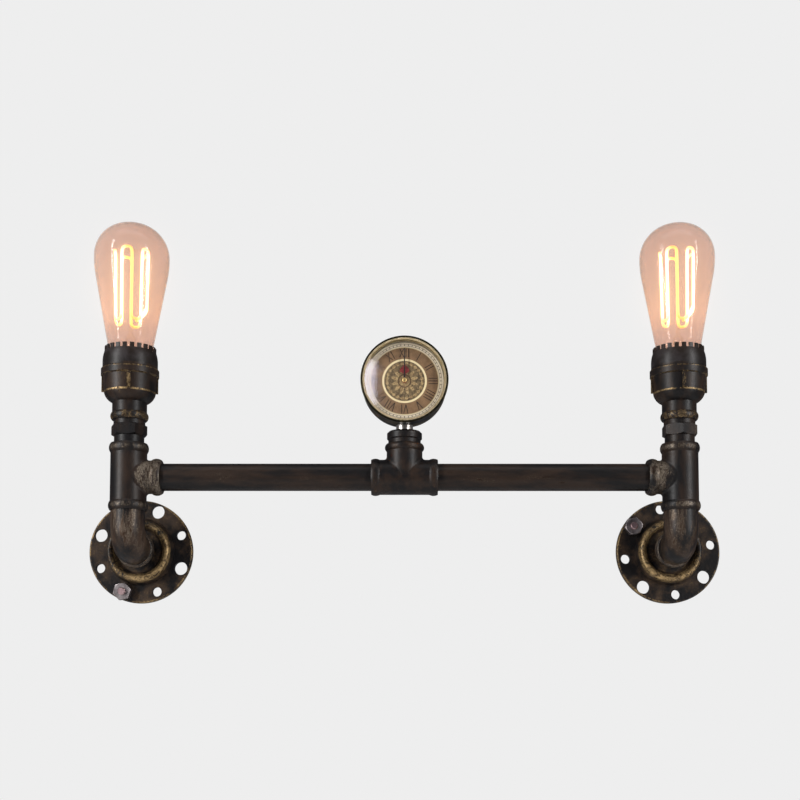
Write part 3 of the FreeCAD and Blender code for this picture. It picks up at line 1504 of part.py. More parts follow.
for name, way, flange_turn in SIDES:
    make_side(name, way, flange_turn)
make_clock()
make_leads()

bolts, nuts, locknuts, screws = [], [], [], []
for name, way, flange_turn in SIDES:
    half_span = way * S.upright_span / 2
    bolts.append(make_flange_bolt(name, half_span, flange_turn))
    nuts.append(make_flange_nut(name, half_span, flange_turn))
    locknuts.append(make_locknut(name, half_span))
    screws += [make_terminal_screw(name, half_span, sign) for sign in (-1, 1)]
group("flange_bolts", bolts)
group("flange_nuts", nuts)
group("holder_locknuts", locknuts)
group("terminal_screws", screws)

doc.recompute()


def check_document():
    """Stop on a failed feature or a bad solid."""
    for item in doc.Objects:
        if "Invalid" in item.State or "Error" in item.State:
            raise RuntimeError(f"{item.Label} failed: {item.State}")
    for item in PARTS:
        if item.Shape.isNull() or not item.Shape.isValid() or not item.Shape.Solids:
            raise RuntimeError(f"{item.Label} is not a valid solid")


check_document()
os.makedirs("parts", exist_ok=True)
for item in PARTS:
    item.Shape.exportStep(f"parts/{item.Label}.step")
print(f"{len(PARTS)} sub-parts written")
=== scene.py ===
# %% [markdown]
# # A pipe wall light, dressed for its picture
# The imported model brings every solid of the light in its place: flanges, elbows, tees, pipes, lamps and a
# clock. This lesson keeps those solids, gives each one a finish worked out from its own coordinates, and adds
# the pieces that are too fine for solids: glowing wires, rolled threads, the marks of the dial. Everything is
# in metres, with X to the right, Y into the wall and Z up.

# %% Load the frame
import math

import bpy
import numpy as np
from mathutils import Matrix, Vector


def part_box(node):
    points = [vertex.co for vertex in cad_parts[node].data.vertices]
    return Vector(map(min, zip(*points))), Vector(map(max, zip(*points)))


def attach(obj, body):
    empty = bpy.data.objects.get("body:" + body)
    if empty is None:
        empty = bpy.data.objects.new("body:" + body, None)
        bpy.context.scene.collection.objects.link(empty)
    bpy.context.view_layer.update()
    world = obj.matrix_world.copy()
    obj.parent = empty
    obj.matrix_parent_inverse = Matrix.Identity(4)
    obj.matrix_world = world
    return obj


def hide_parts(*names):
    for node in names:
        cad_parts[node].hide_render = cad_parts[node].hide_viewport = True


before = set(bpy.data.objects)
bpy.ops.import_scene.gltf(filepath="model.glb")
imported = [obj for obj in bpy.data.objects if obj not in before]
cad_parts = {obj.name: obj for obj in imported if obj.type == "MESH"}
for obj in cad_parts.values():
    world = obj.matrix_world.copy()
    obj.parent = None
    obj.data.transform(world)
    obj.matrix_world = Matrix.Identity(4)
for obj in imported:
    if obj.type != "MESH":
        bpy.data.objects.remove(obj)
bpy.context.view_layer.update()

# %% [markdown]
# ## The camera
# A camera could be placed by eye alone, but then lamps, bar and flanges don't agree with the photograph at
# once. So its values were fitted to a list of offsets against the photograph, some of them judged. It stands
# low and looks up a little. The frame is moved up on the sensor, as on a camera with a rising front, which
# keeps the uprights almost parallel.

# %% Place the camera
FRAME_SIDE = 800                 # the photograph's side, in pixels
FOCAL_PIXELS = 1193.0            # the focal length in the same pixels
SENSOR = 36.0
CAMERA_PLACE = (0.0015, -0.9774, -0.1058)
CAMERA_PITCH = math.radians(3.90)
CAMERA_YAW = math.radians(0.09)
AXIS_PIXEL = (408.3, 600.0)      # where the lens axis meets the frame, from its top left corner


def place_camera():
    """A camera whose lens, turn and shift repeat the photograph's perspective."""
    lens = bpy.data.cameras.new("view_camera")
    lens.sensor_width = SENSOR
    lens.lens = SENSOR * FOCAL_PIXELS / FRAME_SIDE
    lens.shift_x = 0.5 - AXIS_PIXEL[0] / FRAME_SIDE
    lens.shift_y = AXIS_PIXEL[1] / FRAME_SIDE - 0.5
    camera = bpy.data.objects.new("view_camera", lens)
    camera.location = CAMERA_PLACE
    camera.rotation_euler = (math.pi / 2 + CAMERA_PITCH, 0, -CAMERA_YAW)
    bpy.context.scene.collection.objects.link(camera)
    bpy.context.scene.camera = camera
    return camera


camera = place_camera()
print("lens", round(camera.data.lens, 1), "mm")

# %% [markdown]
# ## Sums on sockets
# A finish is a picture painted by sums: noise times a mask, plus a ring, minus a streak. Wiring each Math node
# by hand hides the sum, so a small class wraps a socket and takes Python's own signs. Its method node makes
# any other kind of node, and the rest are sums that come up again and again: a sine, a soft step, a band.

# %% Wrap a socket
class Wire:
    """A socket of a node tree. Signs between wires and numbers add Math nodes; node makes any other node."""

    def __init__(self, tree, socket):
        self.tree = tree
        self.socket = socket

    def node(self, kind, settings=None, sockets=None, out=0):
        """Make a node: its settings first, then the values or links of its sockets. Gives one output."""
        made = self.tree.nodes.new(kind)
        for name, value in (settings or {}).items():
            setattr(made, name, value)
        for name, value in (sockets or {}).items():
            if isinstance(value, Wire):
                value.into(made.inputs[name])
            else:
                made.inputs[name].default_value = value
        return Wire(self.tree, made.outputs[out])

    def into(self, place):
        """Link the wire to an input socket of another node."""
        self.tree.links.new(self.socket, place)

    def sum(self, operation, first, second=0.0, clamp=False):
        settings = {"operation": operation, "use_clamp": clamp}
        return self.node("ShaderNodeMath", settings, {0: first, 1: second})

    def __add__(self, other):
        return self.sum("ADD", self, other)

    def __radd__(self, other):
        return self.sum("ADD", other, self)

    def __sub__(self, other):
        return self.sum("SUBTRACT", self, other)

    def __rsub__(self, other):
        return self.sum("SUBTRACT", other, self)

    def __mul__(self, other):
        return self.sum("MULTIPLY", self, other)

    def __rmul__(self, other):
        return self.sum("MULTIPLY", other, self)

    def __truediv__(self, other):
        return self.sum("DIVIDE", self, other)

    def __pow__(self, other):
        return self.sum("POWER", self, other)

    def __abs__(self):
        return self.sum("ABSOLUTE", self)

    def sine(self):
        """The sine of the wire, in radians."""
        return self.sum("SINE", self)

    def fraction(self):
        """What the wire has above its last whole number."""
        return self.sum("FRACT", self)

    def clamped(self):
        """The wire held between 0 and 1."""
        return self.sum("ADD", self, 0.0, clamp=True)

    def above(self, edge, soft):
        """0 well below the edge, 1 well above it, with a soft step of that width between."""
        sockets = {"Value": self, "From Min": edge - soft / 2, "From Max": edge + soft / 2}
        return self.node("ShaderNodeMapRange", {"interpolation_type": "SMOOTHSTEP"}, sockets)

    def within(self, low, high, soft):
        """1 between low and high, 0 outside, with soft edges."""
        return self.above(low, soft) * (1 - self.above(high, soft))


def mix(factor, first, second):
    """A colour that runs from the first to the second as the factor runs from 0 to 1."""
    sockets = {0: factor, 6: colour_of(first), 7: colour_of(second)}
    return factor.node("ShaderNodeMix", {"data_type": "RGBA"}, sockets, out=2)


def colour_of(value):
    """A plain colour gets the fourth number that a socket wants; a wire stays as it is."""
    return value if isinstance(value, Wire) else (*value, 1.0)


print("a wire adds, takes, multiplies and divides")

# %% [markdown]
# ## One shader, many finishes
# Every opaque finish ends in a Principled shader. This helper makes the material, hands its object coordinates
# to a painter function, and joins what the painter gives back. Numbers are set on the shader's sockets; wires
# are linked to them.

# %% Start and end a material
def start_material(name):
    """A new material: itself, its shader, its output and its object coordinates."""
    material = bpy.data.materials.new(name)
    material.use_nodes = True
    nodes = material.node_tree.nodes
    here = Wire(material.node_tree, nodes.new("ShaderNodeTexCoord").outputs["Object"])
    return material, nodes["Principled BSDF"], nodes["Material Output"], here


def new_finish(name, paint, **constants):
    """A material. paint takes the object coordinates and gives {socket: wire} for the shader."""
    material, shader, end, here = start_material(name)
    for socket, value in constants.items():
        shader.inputs[socket.replace("_", " ")].default_value = value
    for socket, wire in paint(here).items():
        wire.into(shader.inputs[socket])
    return material


def let_through(share, shader, end, tint=(1.0, 1.0, 1.0)):
    """Mix the shader with a clear one of that tint. Where the share is 1 only the shader is left."""
    clear = share.node("ShaderNodeBsdfTransparent", None, {"Color": (*tint, 1.0)})
    sockets = {0: share, 1: clear, 2: Wire(share.tree, shader.outputs[0])}
    share.node("ShaderNodeMixShader", None, sockets).into(end.inputs["Surface"])


def axes(here):
    """The three coordinates of a place, each as its own wire."""
    split = here.node("ShaderNodeSeparateXYZ", sockets={0: here}, out=0)
    outputs = split.socket.node.outputs
    return [Wire(here.tree, outputs[index]) for index in range(3)]


def stretched(here, across, depth, up):
    """The coordinates stretched by a factor on each axis, so that a noise on them gets long or short."""
    sockets = {0: here, 1: (across, depth, up)}
    return here.node("ShaderNodeVectorMath", {"operation": "MULTIPLY"}, sockets)


def noise(here, scale, detail=3.0, rough=0.55, spin=0.0):
    """Soft cloudy noise of about 0 to 1; the scale is in features a metre."""
    sockets = {"Vector": here, "Scale": scale, "Detail": detail, "Roughness": rough, "Distortion": spin}
    return here.node("ShaderNodeTexNoise", None, sockets, out=0)


def bump(height, strength, distance):
    """A normal bent by a height in 0 to 1 that stands for a real distance in metres."""
    sockets = {"Height": height, "Strength": strength, "Distance": distance}
    return height.node("ShaderNodeBump", None, sockets)


def dress(names, material):
    """Give CAD nodes a finish."""
    for name in names:
        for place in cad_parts[name].material_slots:
            place.material = material


SIDES = ("left", "right")


def both(name):
    """The left and the right node of that name."""
    return [f"{side}_{name}" for side in SIDES]


print("helpers ready")

# %% [markdown]
# ## Where the pipes run
# The wear of a fitting follows its own axis: a collar is bright because it stands further out than the pipe
# beside it. So most masks ask how far a point is from an upright, from the bar or from a flange's middle. The
# two sides mirror each other, which an absolute value gives for nothing.

# %% Distances from the axes
UPRIGHT_X = 0.216                # the uprights, the bar and the clock, in the frame
PIPE_Y = -0.052
BAR_Z = 0.0535
CLOCK_Z = 0.1269
MM = 0.001


def length(first, second):
    """The length of a vector with those two components."""
    return (first * first + second * second) ** 0.5


def off_upright(here):
    """The distance from the nearer upright's axis."""
    x, y, z = axes(here)
    return length(abs(x) - UPRIGHT_X, y - PIPE_Y)


def off_bar(here):
    """The distance from the bar's axis."""
    x, y, z = axes(here)
    return length(y - PIPE_Y, z - BAR_Z)


def off_flange(here):
    """The distance from the nearer flange's middle, seen from the front."""
    x, y, z = axes(here)
    return length(abs(x) - UPRIGHT_X, z)


def off_clock(here):
    """The distance from the middle of the dial, seen from the front."""
    x, y, z = axes(here)
    return length(x, z - CLOCK_Z)


print("four distances")

# %% [markdown]
# ## Rubbed bronze
# The fittings are cast iron under a near-black bronze lacquer that is rubbed back by hand. A flat dark metal
# would look like plastic: the real one is black in its hollows, brown where it is thin, and pale gold on
# the collars and edges. One painter mixes the three by noise, and each kind of fitting adds a mask of its own
# for the places that a cloth reaches first; on elbows, flanges and cups that mask also holds a painted
# highlight.

# %% Paint the bronze
BLACK = (0.0045, 0.0038, 0.0040)
BROWN = (0.022, 0.0125, 0.0080)
GREY_GOLD = (0.36, 0.30, 0.23)
GOLD = (0.55, 0.38, 0.18)
RED_GOLD = (0.40, 0.26, 0.16)


def bronze(name, rub_and_highlight, thin=BROWN, rubbed=GREY_GOLD, grain=(1, 1, 1), cover=0.5, grit=0.00012):
    """Lacquer over cast metal. The mask function, given the place, says where it is rubbed and, on elbows,
    flanges and cups, also where a highlight is painted; grain how the rubbing is drawn out along the axes,
    cover how much of it stays black, and grit how deep the casting's skin is, in metres."""

    def paint(here):
        drawn = stretched(here, *grain)
        cloud = noise(drawn, 75, 4.0, 0.6)
        patch = noise(drawn, 330, 5.0, 0.7, 0.6)
        speck = noise(here, 1500, 2.0, 0.6)
        # the masks of elbows, flanges and cups also hold painted highlights, which come out here as bare gold
        worn = rub_and_highlight(here) + (patch - 0.5) * 3.4 + (cloud - cover) * 1.6 + (speck - 0.5) * 1.4
        bare_and_highlight = worn.clamped().above(0.66, 0.44)
        base = mix(cloud.above(0.52, 0.25), BLACK, thin)
        colour = mix(bare_and_highlight, base, mix(patch.above(0.5, 0.3), rubbed, thin))
        skin = noise(here, 620, 4.0, 0.65)
        return {"Base Color": colour,
                "Metallic": bare_and_highlight * 0.75,
                "Roughness": 0.30 + skin * 0.26 + bare_and_highlight * 0.04,
                "Normal": bump(skin + speck * 0.5, 0.9, grit)}

    return new_finish(name, paint, Coat_Weight=0.05, Coat_Roughness=0.3, Specular_IOR_Level=0.22)


def collars(distance, edge, amount=0.55):
    """Rubbed further out from an axis than the edge, a radius in millimetres."""
    return lambda here: distance(here).above(edge * MM, 0.9 * MM) * amount


def centre_reach(here):
    """The two collars on the bar, and the upper one a little."""
    x, y, z = axes(here)
    collar = abs(x).above(0.0205, 0.001) * off_bar(here).above(0.0146, 0.0008)
    return collar * 0.75 + z.above(0.0735, 0.002) * 0.25


pipe_bronze = bronze("pipe_bronze", lambda here: axes(here)[2].within(0.0478, 0.0555, 0.004) * 0.20,
                     grain=(0.22, 1, 1), cover=0.58)
tee_bronze = bronze("tee_bronze", collars(off_upright, 15.0), grain=(1, 1, 0.3), cover=0.50)
branch_bronze = bronze("branch_bronze", centre_reach, rubbed=RED_GOLD, cover=0.57)
nipple_bronze = bronze("nipple_bronze", collars(off_upright, 11.2, 0.3), grain=(1, 1, 0.4), cover=0.58)
dress(both("bar_pipe"), pipe_bronze)
dress(both("end_tee"), tee_bronze)
dress(["centre_tee"], branch_bronze)
dress(both("hex_nipple") + ["gauge_bush"], nipple_bronze)
print("pipes and tees dressed")

# %% [markdown]
# ## Elbows, flanges and cups
# The elbows are brushed up and down, so their rubbing is drawn out along Z, and their fronts carry a painted
# highlight. A flange is bright on the lip of its hub, with a painted highlight where the lip faces the other
# flange and along its foot. A cup has bright lines on its ribs and on the edge of its shoulder, partly rubbed
# wear and partly painted highlight.

# %% Dress the castings
def flange_wear_and_highlight(here):
    """Lighter on the lip of the hub, the outer rim and the recess inside the hub; on the lip a painted
    highlight where it faces the other flange and low down.
    """
    x, y, z = axes(here)
    out = off_flange(here)
    # painted highlight: the lip lighter on its side towards the other flange and lower down
    painted_lip_highlight = (abs(x) - UPRIGHT_X) * -14.0 - z * 9.0
    lip = out.within(19.6 * MM, 26.0 * MM, 1.2 * MM) * y.above(-0.0115, -0.003)
    rim = out.above(40.8 * MM, 1.0 * MM)
    recess = 1 - out.above(20.0 * MM, 1.0 * MM)
    return lip * (0.62 + painted_lip_highlight) + rim * 0.5 + recess * 0.2 + 0.14


SHOULDER = (0.1192, 0.1207)      # heights on a cup, from and to
LOWER_LINE = (0.1324, 0.1334)
UPPER_LINE = (0.1373, 0.1384)
FOOT_RING = (0.0983, 0.1046)
RIBBED = (0.1207, 0.1322)


def cup_wear_and_highlight(here):
    """Thin bright lines, partly rubbed wear and partly painted highlight: the shoulder's edge, two on the rim,
    the foot ring and the ribs.
    """
    x, y, z = axes(here)
    # these lines are partly rubbed wear and partly painted highlight
    edge = z.within(*SHOULDER, 0.0006)
    band = z.within(*LOWER_LINE, 0.0005) + z.within(*UPPER_LINE, 0.0005)
    foot = z.within(*FOOT_RING, 0.0008)
    ribs = off_upright(here).above(21.1 * MM, 0.5 * MM) * z.within(*RIBBED, 0.0008)
    return edge * 0.80 + band * 0.55 + foot * 0.50 + ribs * 0.60 + 0.05


def elbow_wear_and_highlight(here):
    """Rubbed all over and most on the band at its socket, with a painted highlight down the front."""
    x, y, z = axes(here)
    # painted highlight on the elbow's front
    front = (PIPE_Y - y).above(0.008, 0.006) * z.above(0.006, 0.010)
    return y.within(-0.030, -0.021, 0.001) * 0.35 + front * 0.18 + 0.22


flange_bronze = bronze("flange_bronze", flange_wear_and_highlight, thin=(0.040, 0.025, 0.016), rubbed=GOLD,
                       cover=0.50)
elbow_bronze = bronze("elbow_bronze", elbow_wear_and_highlight, thin=(0.045, 0.026, 0.016), grain=(1, 1, 0.16),
                      cover=0.46)
cup_bronze = bronze("cup_bronze", cup_wear_and_highlight, rubbed=GOLD, grain=(1, 1, 0.5), cover=0.54, grit=0.00007)
ring_bronze = bronze("ring_bronze", collars(off_upright, 22.6, 0.35), thin=(0.02, 0.018, 0.020), cover=0.6,
                     grit=0.00004)
dress(both("flange"), flange_bronze)
dress(both("elbow") + both("wall_nipple"), elbow_bronze)
dress(both("lamp_cup"), cup_bronze)
dress(both("holder_ring"), ring_bronze)
print("castings dressed")

# %% [markdown]
# ## Small metal
# Plated and turned metal is quieter than the castings: a fine brushed line, a little dullness from handling,
# no patches. One painter serves the zinc bolts, the nickel stem, the brass and the solder. The lines are drawn
# out level, so that they go round the pieces that stand upright.

# %% Dress the plated metal
def plated(name, bright, dull, grain=(1, 1, 6), rough=0.3):
    """Metal with fine brushed lines, which are rougher, and a soft cloud of dullness from handling."""

    def paint(here):
        line = noise(stretched(here, *grain), 1300, 2.0, 0.5)
        touch = noise(here, 160, 3.0, 0.6)
        return {"Base Color": mix(touch.above(0.5, 0.5), bright, dull),
                "Roughness": rough + line * 0.12 + touch * 0.12,
                "Normal": bump(line, 0.5, 0.00002)}

    return new_finish(name, paint, Metallic=1.0)


zinc = plated("zinc_plate", (0.40, 0.36, 0.36), (0.14, 0.12, 0.12), rough=0.34)
nickel = plated("nickel_plate", (0.80, 0.77, 0.73), (0.52, 0.49, 0.45), rough=0.2)
brass = plated("pressed_brass", (0.78, 0.56, 0.25), (0.50, 0.34, 0.14), rough=0.26)
solder = plated("solder", (0.55, 0.55, 0.56), (0.36, 0.36, 0.37), rough=0.38)
rose_zinc = plated("rose_zinc", (0.66, 0.47, 0.47), (0.34, 0.23, 0.24), rough=0.3)
dress(["flange_bolts"], rose_zinc)
dress(["flange_nuts", "holder_locknuts", "clock_cell"] + both("holder_tube"), zinc)
dress(["gauge_stem", "stem_nut"], nickel)
dress(["terminal_screws"] + both("screw_shell") + both("centre_contact") + both("bulb_cap"), brass)
dress(both("bulb_tip"), solder)
print("plated metal dressed")

# %% [markdown]
# ## Ceramic, mouldings and rubber
# The holder's core is off-white glazed ceramic. The mouldings and rubber are dark, so a fine pebbled skin and
# a changing gloss are what tells them apart.

# %% Dress what isn't metal
def moulded(name, dark, light, rough, pebble=1800, depth=0.00003, **constants):
    """A moulded or cast surface with a fine pebbled skin."""

    def paint(here):
        skin = noise(here, pebble, 3.0, 0.6)
        cloud = noise(here, 120, 3.0, 0.5)
        return {"Base Color": mix(cloud.above(0.5, 0.6), dark, light),
                "Roughness": rough + skin * 0.15,
                "Normal": bump(skin, 0.5, depth)}

    return new_finish(name, paint, **constants)


ceramic = moulded("ceramic", (0.80, 0.77, 0.71), (0.87, 0.85, 0.80), 0.12, 900, Coat_Weight=0.6)
moulding = moulded("black_moulding", (0.015, 0.014, 0.014), (0.032, 0.030, 0.030), 0.42)
sheath = moulded("lead_sheath", (0.06, 0.05, 0.045), (0.11, 0.095, 0.085), 0.5)
insulator = moulded("black_glass", (0.008, 0.008, 0.012), (0.02, 0.02, 0.028), 0.08, Coat_Weight=0.5)
rubber = moulded("black_rubber", (0.012, 0.012, 0.012), (0.028, 0.028, 0.027), 0.6, 2600, 0.00005)
dress(both("holder_core"), ceramic)
dress(["clock_movement", "setting_knob"], moulding)
dress(both("lead"), sheath)
dress(both("bulb_insulator"), insulator)
dress(["clock_gasket"], rubber)
print("mouldings dressed")

# %% [markdown]
# ## Glass
# A bulb's wall is only 0.8 mm thick, so light passes almost straight through and only its colour and
# its shine change. True refraction would need many bounces and shows little more, so each wall is a mix of a
# clear tinted pass and a shiny skin. The skin takes over where the wall is seen edge on. A thin film of glow,
# strongest low down beside the filament, stands for the light that the tinted glass scatters.

# %% Blow the glass
FILAMENT_FOOT = 0.1768           # the filament's lowest and highest turns
FILAMENT_HEAD = 0.2338
GLOW_FOOT = FILAMENT_FOOT - 0.010
GLOW_HEAD = FILAMENT_HEAD - 0.040


def glass(name, tint, skin, cover, metal, glow=None, glow_strength=0.0, rough=0.04, rim=0.75):
    """Thin glass: the tint of one wall, the colour of its skin, how much the skin covers face on and how much
    more at the rim, and how much of the skin is mirror rather than milk."""
    material, shader, end, here = start_material(name)
    shader.inputs["Base Color"].default_value = (*skin, 1.0)
    shader.inputs["Metallic"].default_value = metal
    shader.inputs["Emission Strength"].default_value = glow_strength
    waves = noise(here, 90, 2.0, 0.5)
    (rough + waves * 0.05).into(shader.inputs["Roughness"])
    if glow:
        x, y, z = axes(here)
        beside = z.within(GLOW_FOOT, GLOW_HEAD, 0.030)
        mix(beside * (0.75 + waves * 0.4), (0.0, 0.0, 0.0), glow).into(shader.inputs["Emission Color"])
    edge_on = here.node("ShaderNodeLayerWeight", None, {"Blend": 0.22}, out=1)
    share = (edge_on ** 1.6 * rim + cover + (waves - 0.5) * cover).clamped()
    let_through(share, shader, end, tint)
    return material


amber = glass("amber_glass", (0.920, 0.818, 0.772), (0.76, 0.71, 0.68), 0.05, 0.12,
              glow=(1.0, 0.42, 0.20), glow_strength=0.20)
clear_glass = glass("clear_glass", (0.98, 0.96, 0.94), (0.8, 0.72, 0.62), 0.04, 0.3,
                    glow=(1.0, 0.55, 0.25), glow_strength=0.7)
lens_glass = glass("lens_glass", (0.985, 0.985, 0.975), (0.95, 0.94, 0.96), 0.02, 1.0, rough=0.02, rim=0.08)
dress(both("bulb_glass"), amber)
dress(both("bulb_stem"), clear_glass)
dress(["clock_lens"], lens_glass)
print("glass dressed")

# %% [markdown]
# ## The clock's case, hands and arbors
# The case is dark bronze, with a bezel whose inner edge is turned back to bright gold. The bezel's two tones
# are two rings of one finish, split by the distance from the dial's middle.

# %% Dress the clock
BEZEL_CROWN = 0.0324             # the radius where the bezel's face turns down


def bezel_paint(here):
    """Gold inside the bezel's crown, dark olive outside it."""
    out = off_clock(here)
    touch = noise(here, 300, 4.0, 0.6)
    ring = out.above(BEZEL_CROWN, 0.0004) * (0.85 + touch * 0.3)
    gold = mix(touch.above(0.5, 0.4), (0.80, 0.66, 0.40), (0.58, 0.46, 0.25))
    olive = mix(touch.above(0.6, 0.3), (0.010, 0.009, 0.005), (0.060, 0.048, 0.024))
    return {"Base Color": mix(ring.clamped(), gold, olive),
            "Roughness": 0.22 + touch * 0.2,
            "Normal": bump(touch, 0.4, 0.00003)}


def enamel(name, deep, worn, rough=0.35):
    """Thin paint on a pressed sheet, a little lighter where it is worn."""

    def paint(here):
        touch = noise(here, 700, 4.0, 0.65)
        return {"Base Color": mix(touch.above(0.55, 0.3), deep, worn),
                "Roughness": rough + touch * 0.15,
                "Normal": bump(touch, 0.4, 0.00001)}

    return new_finish(name, paint, Coat_Weight=0.3)


case_bronze = bronze("case_bronze", lambda here: off_clock(here).above(0.0322, 0.001) * 0.3,
                     thin=(0.07, 0.055, 0.03), rubbed=GOLD, cover=0.56, grit=0.00005)
bezel_gold = new_finish("bezel_gold", bezel_paint, Metallic=0.9)
maroon = enamel("maroon_enamel", (0.20, 0.018, 0.020), (0.32, 0.05, 0.045))
black_enamel = enamel("black_enamel", (0.010, 0.010, 0.010), (0.035, 0.033, 0.030))
dress(["clock_case"], case_bronze)
dress(["clock_bezel"], bezel_gold)
dress(["clock_can"], plated("can_plate", (0.42, 0.38, 0.30), (0.22, 0.19, 0.14), rough=0.35))
dress(["hour_hand"], maroon)
dress(["minute_hand"], black_enamel)
dress(["minute_arbor", "hour_pipe", "hand_nut"], brass)
print("clock dressed")

# %% [markdown]
# ## The dial
# A printed picture would need an image file, but a dial is all circles and rays, so sums on the radius and the
# angle draw it: a cream minute track with ticks, a brown band for the numerals, a gold border, and a plain
# rosette of twelve petals in gold and olive at the middle.

# %% Print the dial
TRACK = 0.0268                   # radii of the dial's rings, in metres
TICK_FOOT = 0.0277
TICK_HEAD = 0.0289
RAIL = 0.0003                    # width of the lines that close the minute track
BAND = 0.0174
ROSETTE = 0.0158
MINUTES = 60
PETALS = 12


def dial_paint(here):
    """Rings by radius, ticks and petals by angle."""
    x, y, z = axes(here)
    rise = z - CLOCK_Z
    out = length(x, rise)
    turn = x.sum("ARCTAN2", x, rise) / (2 * math.pi)
    foxing = noise(here, 210, 5.0, 0.65)
    to_tick = abs((turn * MINUTES + 0.5).fraction() - 0.5)
    tick = (1 - to_tick.above(0.11, 0.06)) * out.within(TICK_FOOT, TICK_HEAD, 0.0002)
    rail = (out.within(TICK_HEAD, TICK_HEAD + RAIL, 0.0002)
            + out.within(TICK_FOOT - RAIL, TICK_FOOT, 0.0002))
    cream = mix(foxing.above(0.55, 0.4), (0.80, 0.70, 0.55), (0.60, 0.50, 0.38))
    track = mix((tick + rail).clamped() * 0.8, cream, (0.06, 0.04, 0.025))
    rays = (turn * (MINUTES * 4 * math.pi)).sine() * 0.5 + 0.5
    tan = mix(foxing.above(0.5, 0.4), (0.27, 0.155, 0.078), (0.17, 0.095, 0.046))
    band = mix(rays * 0.25, tan, (0.10, 0.055, 0.028))
    petal = abs((turn * (PETALS * math.pi)).sine())
    scallop = abs((turn * (PETALS * 2 * math.pi)).sine())
    leaf = 1 - (out - (0.0045 + petal * 0.0060)).above(0.0, 0.0008)
    shell = (1 - (abs(out - 0.0136) - scallop * 0.0012).above(0.0, 0.0005))
    engraved = noise(here, 520, 3.0, 0.7, 1.5)
    gilt = mix(engraved.above(0.5, 0.2), (0.46, 0.33, 0.16), (0.20, 0.12, 0.055))
    olive = mix(engraved.above(0.52, 0.2), (0.19, 0.13, 0.065), (0.055, 0.035, 0.018))
    middle = mix((leaf + shell).clamped(), olive, gilt)
    middle = mix(out.within(0.0044, 0.0054, 0.0003), middle, (0.12, 0.07, 0.035))
    ring = mix(out.within(ROSETTE, BAND, 0.0003), middle, (0.80, 0.66, 0.40))
    inner = mix(out.above(BAND, 0.0002), ring, band)
    border = out.within(TRACK - 0.0006, TRACK, 0.0002)
    whole = mix(out.above(TRACK, 0.0002), mix(border, inner, (0.62, 0.50, 0.30)), track)
    return {"Base Color": whole, "Roughness": 0.45 + foxing * 0.2}


dial_print = new_finish("dial_print", dial_paint)
dress(["clock_dial"], dial_print)
print("dial printed:", MINUTES, "ticks and", PETALS, "petals")

# %% [markdown]
# ## Surfaces from formulas
# What is too fine for solids is made here as a grid of points. Each row is a closed ring and the rows follow
# one another along the piece, so the same function closes tubes, threads and boxes alike. The faces turn
# outwards when the ring runs anticlockwise as seen from the last row.

# %% Make a closed skin
def skin(name, rings, body, slot, material, loop=False, smooth=True):
    """Closed surfaces through rings of points, an array of parts by rows by columns by three. A face joins a
    point, its neighbour round the ring, and the same two on the next row. With loop, the last row joins the
    first; without it, a fan of triangles closes each end."""
    rings = rings.reshape(-1, *rings.shape[-3:])
    parts, rows, columns = rings.shape[:3]
    index = np.arange(parts * rows * columns).reshape(parts, rows, columns)
    beside = np.roll(index, -1, axis=2)
    above, above_beside = np.roll(index, -1, axis=1), np.roll(beside, -1, axis=1)
    kept = rows if loop else rows - 1
    quads = np.stack([index, beside, above_beside, above], axis=-1)[:, :kept].reshape(-1, 4)
    faces = quads.tolist()
    points = rings.reshape(-1, 3)
    if not loop:
        foot = np.broadcast_to(len(points) + np.arange(parts)[:, None], (parts, columns))
        low = np.stack([foot, beside[:, 0], index[:, 0]], axis=-1).reshape(-1, 3)
        high = np.stack([foot + parts, index[:, -1], beside[:, -1]], axis=-1).reshape(-1, 3)
        points = np.concatenate([points, rings[:, 0].mean(axis=1), rings[:, -1].mean(axis=1)])
        faces += low.tolist() + high.tolist()
    mesh = bpy.data.meshes.new(name)
    mesh.from_pydata(points.tolist(), [], faces)
    mesh.polygons.foreach_set("use_smooth", np.full(len(mesh.polygons), smooth))
    mesh.materials.append(material)
    piece = bpy.data.objects.new(name, mesh)
    bpy.context.scene.collection.objects.link(piece)
    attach(piece, body)
    return piece


def unit(vectors):
    """The same vectors at length 1."""
    return vectors / np.linalg.norm(vectors, axis=-1, keepdims=True)


def tube(path, aside, radius, sides):
    """Rings round a path. Each ring lies across the path's direction, and its first point lies towards the
    aside vector, less the part of that vector that runs along the path."""
    ahead = unit(np.gradient(path, axis=0))
    first = unit(aside - (aside * ahead).sum(axis=1, keepdims=True) * ahead)
    second = np.cross(ahead, first)
    turn = np.linspace(0, 2 * math.pi, sides, endpoint=False)
    ring = first[:, None] * np.cos(turn)[None, :, None] + second[:, None] * np.sin(turn)[None, :, None]
    return path[:, None] + ring * radius


print("skins and tubes ready")

# %% [markdown]
# ## The glowing filament
# A squirrel-cage lamp has one long wire that runs up and down round a glass rod. A curve with bevel could draw
# it, but the wire is a formula: its height swings like a wave with rounded crests while its angle moves on
# only at the crests. The real wire is thin, but its glare makes it look some two millimetres wide, so the
# tube is that thick.

# %% Wind the filaments
STRANDS = 10
CAGE_FOOT = 0.0124               # radii of the cage at its lower and upper turns
CAGE_HEAD = 0.0134
WIRE = 0.0011                    # radius of the glowing tube
CREST = 0.985                   # 1 would give sharp crests
STAIR = 15                       # the power that keeps each strand upright
END_CUT = 0.10                   # part of a strand missing at each end of the wire
DIP = 0.16                       # part of a strand that bends to the rod
DIP_IN = 0.0085                  # how far it bends in, and down
DIP_DOWN = 0.002
LAMP_TURN = math.atan2(UPRIGHT_X, PIPE_Y - CAMERA_PLACE[1])   # the cages stand turned to the front


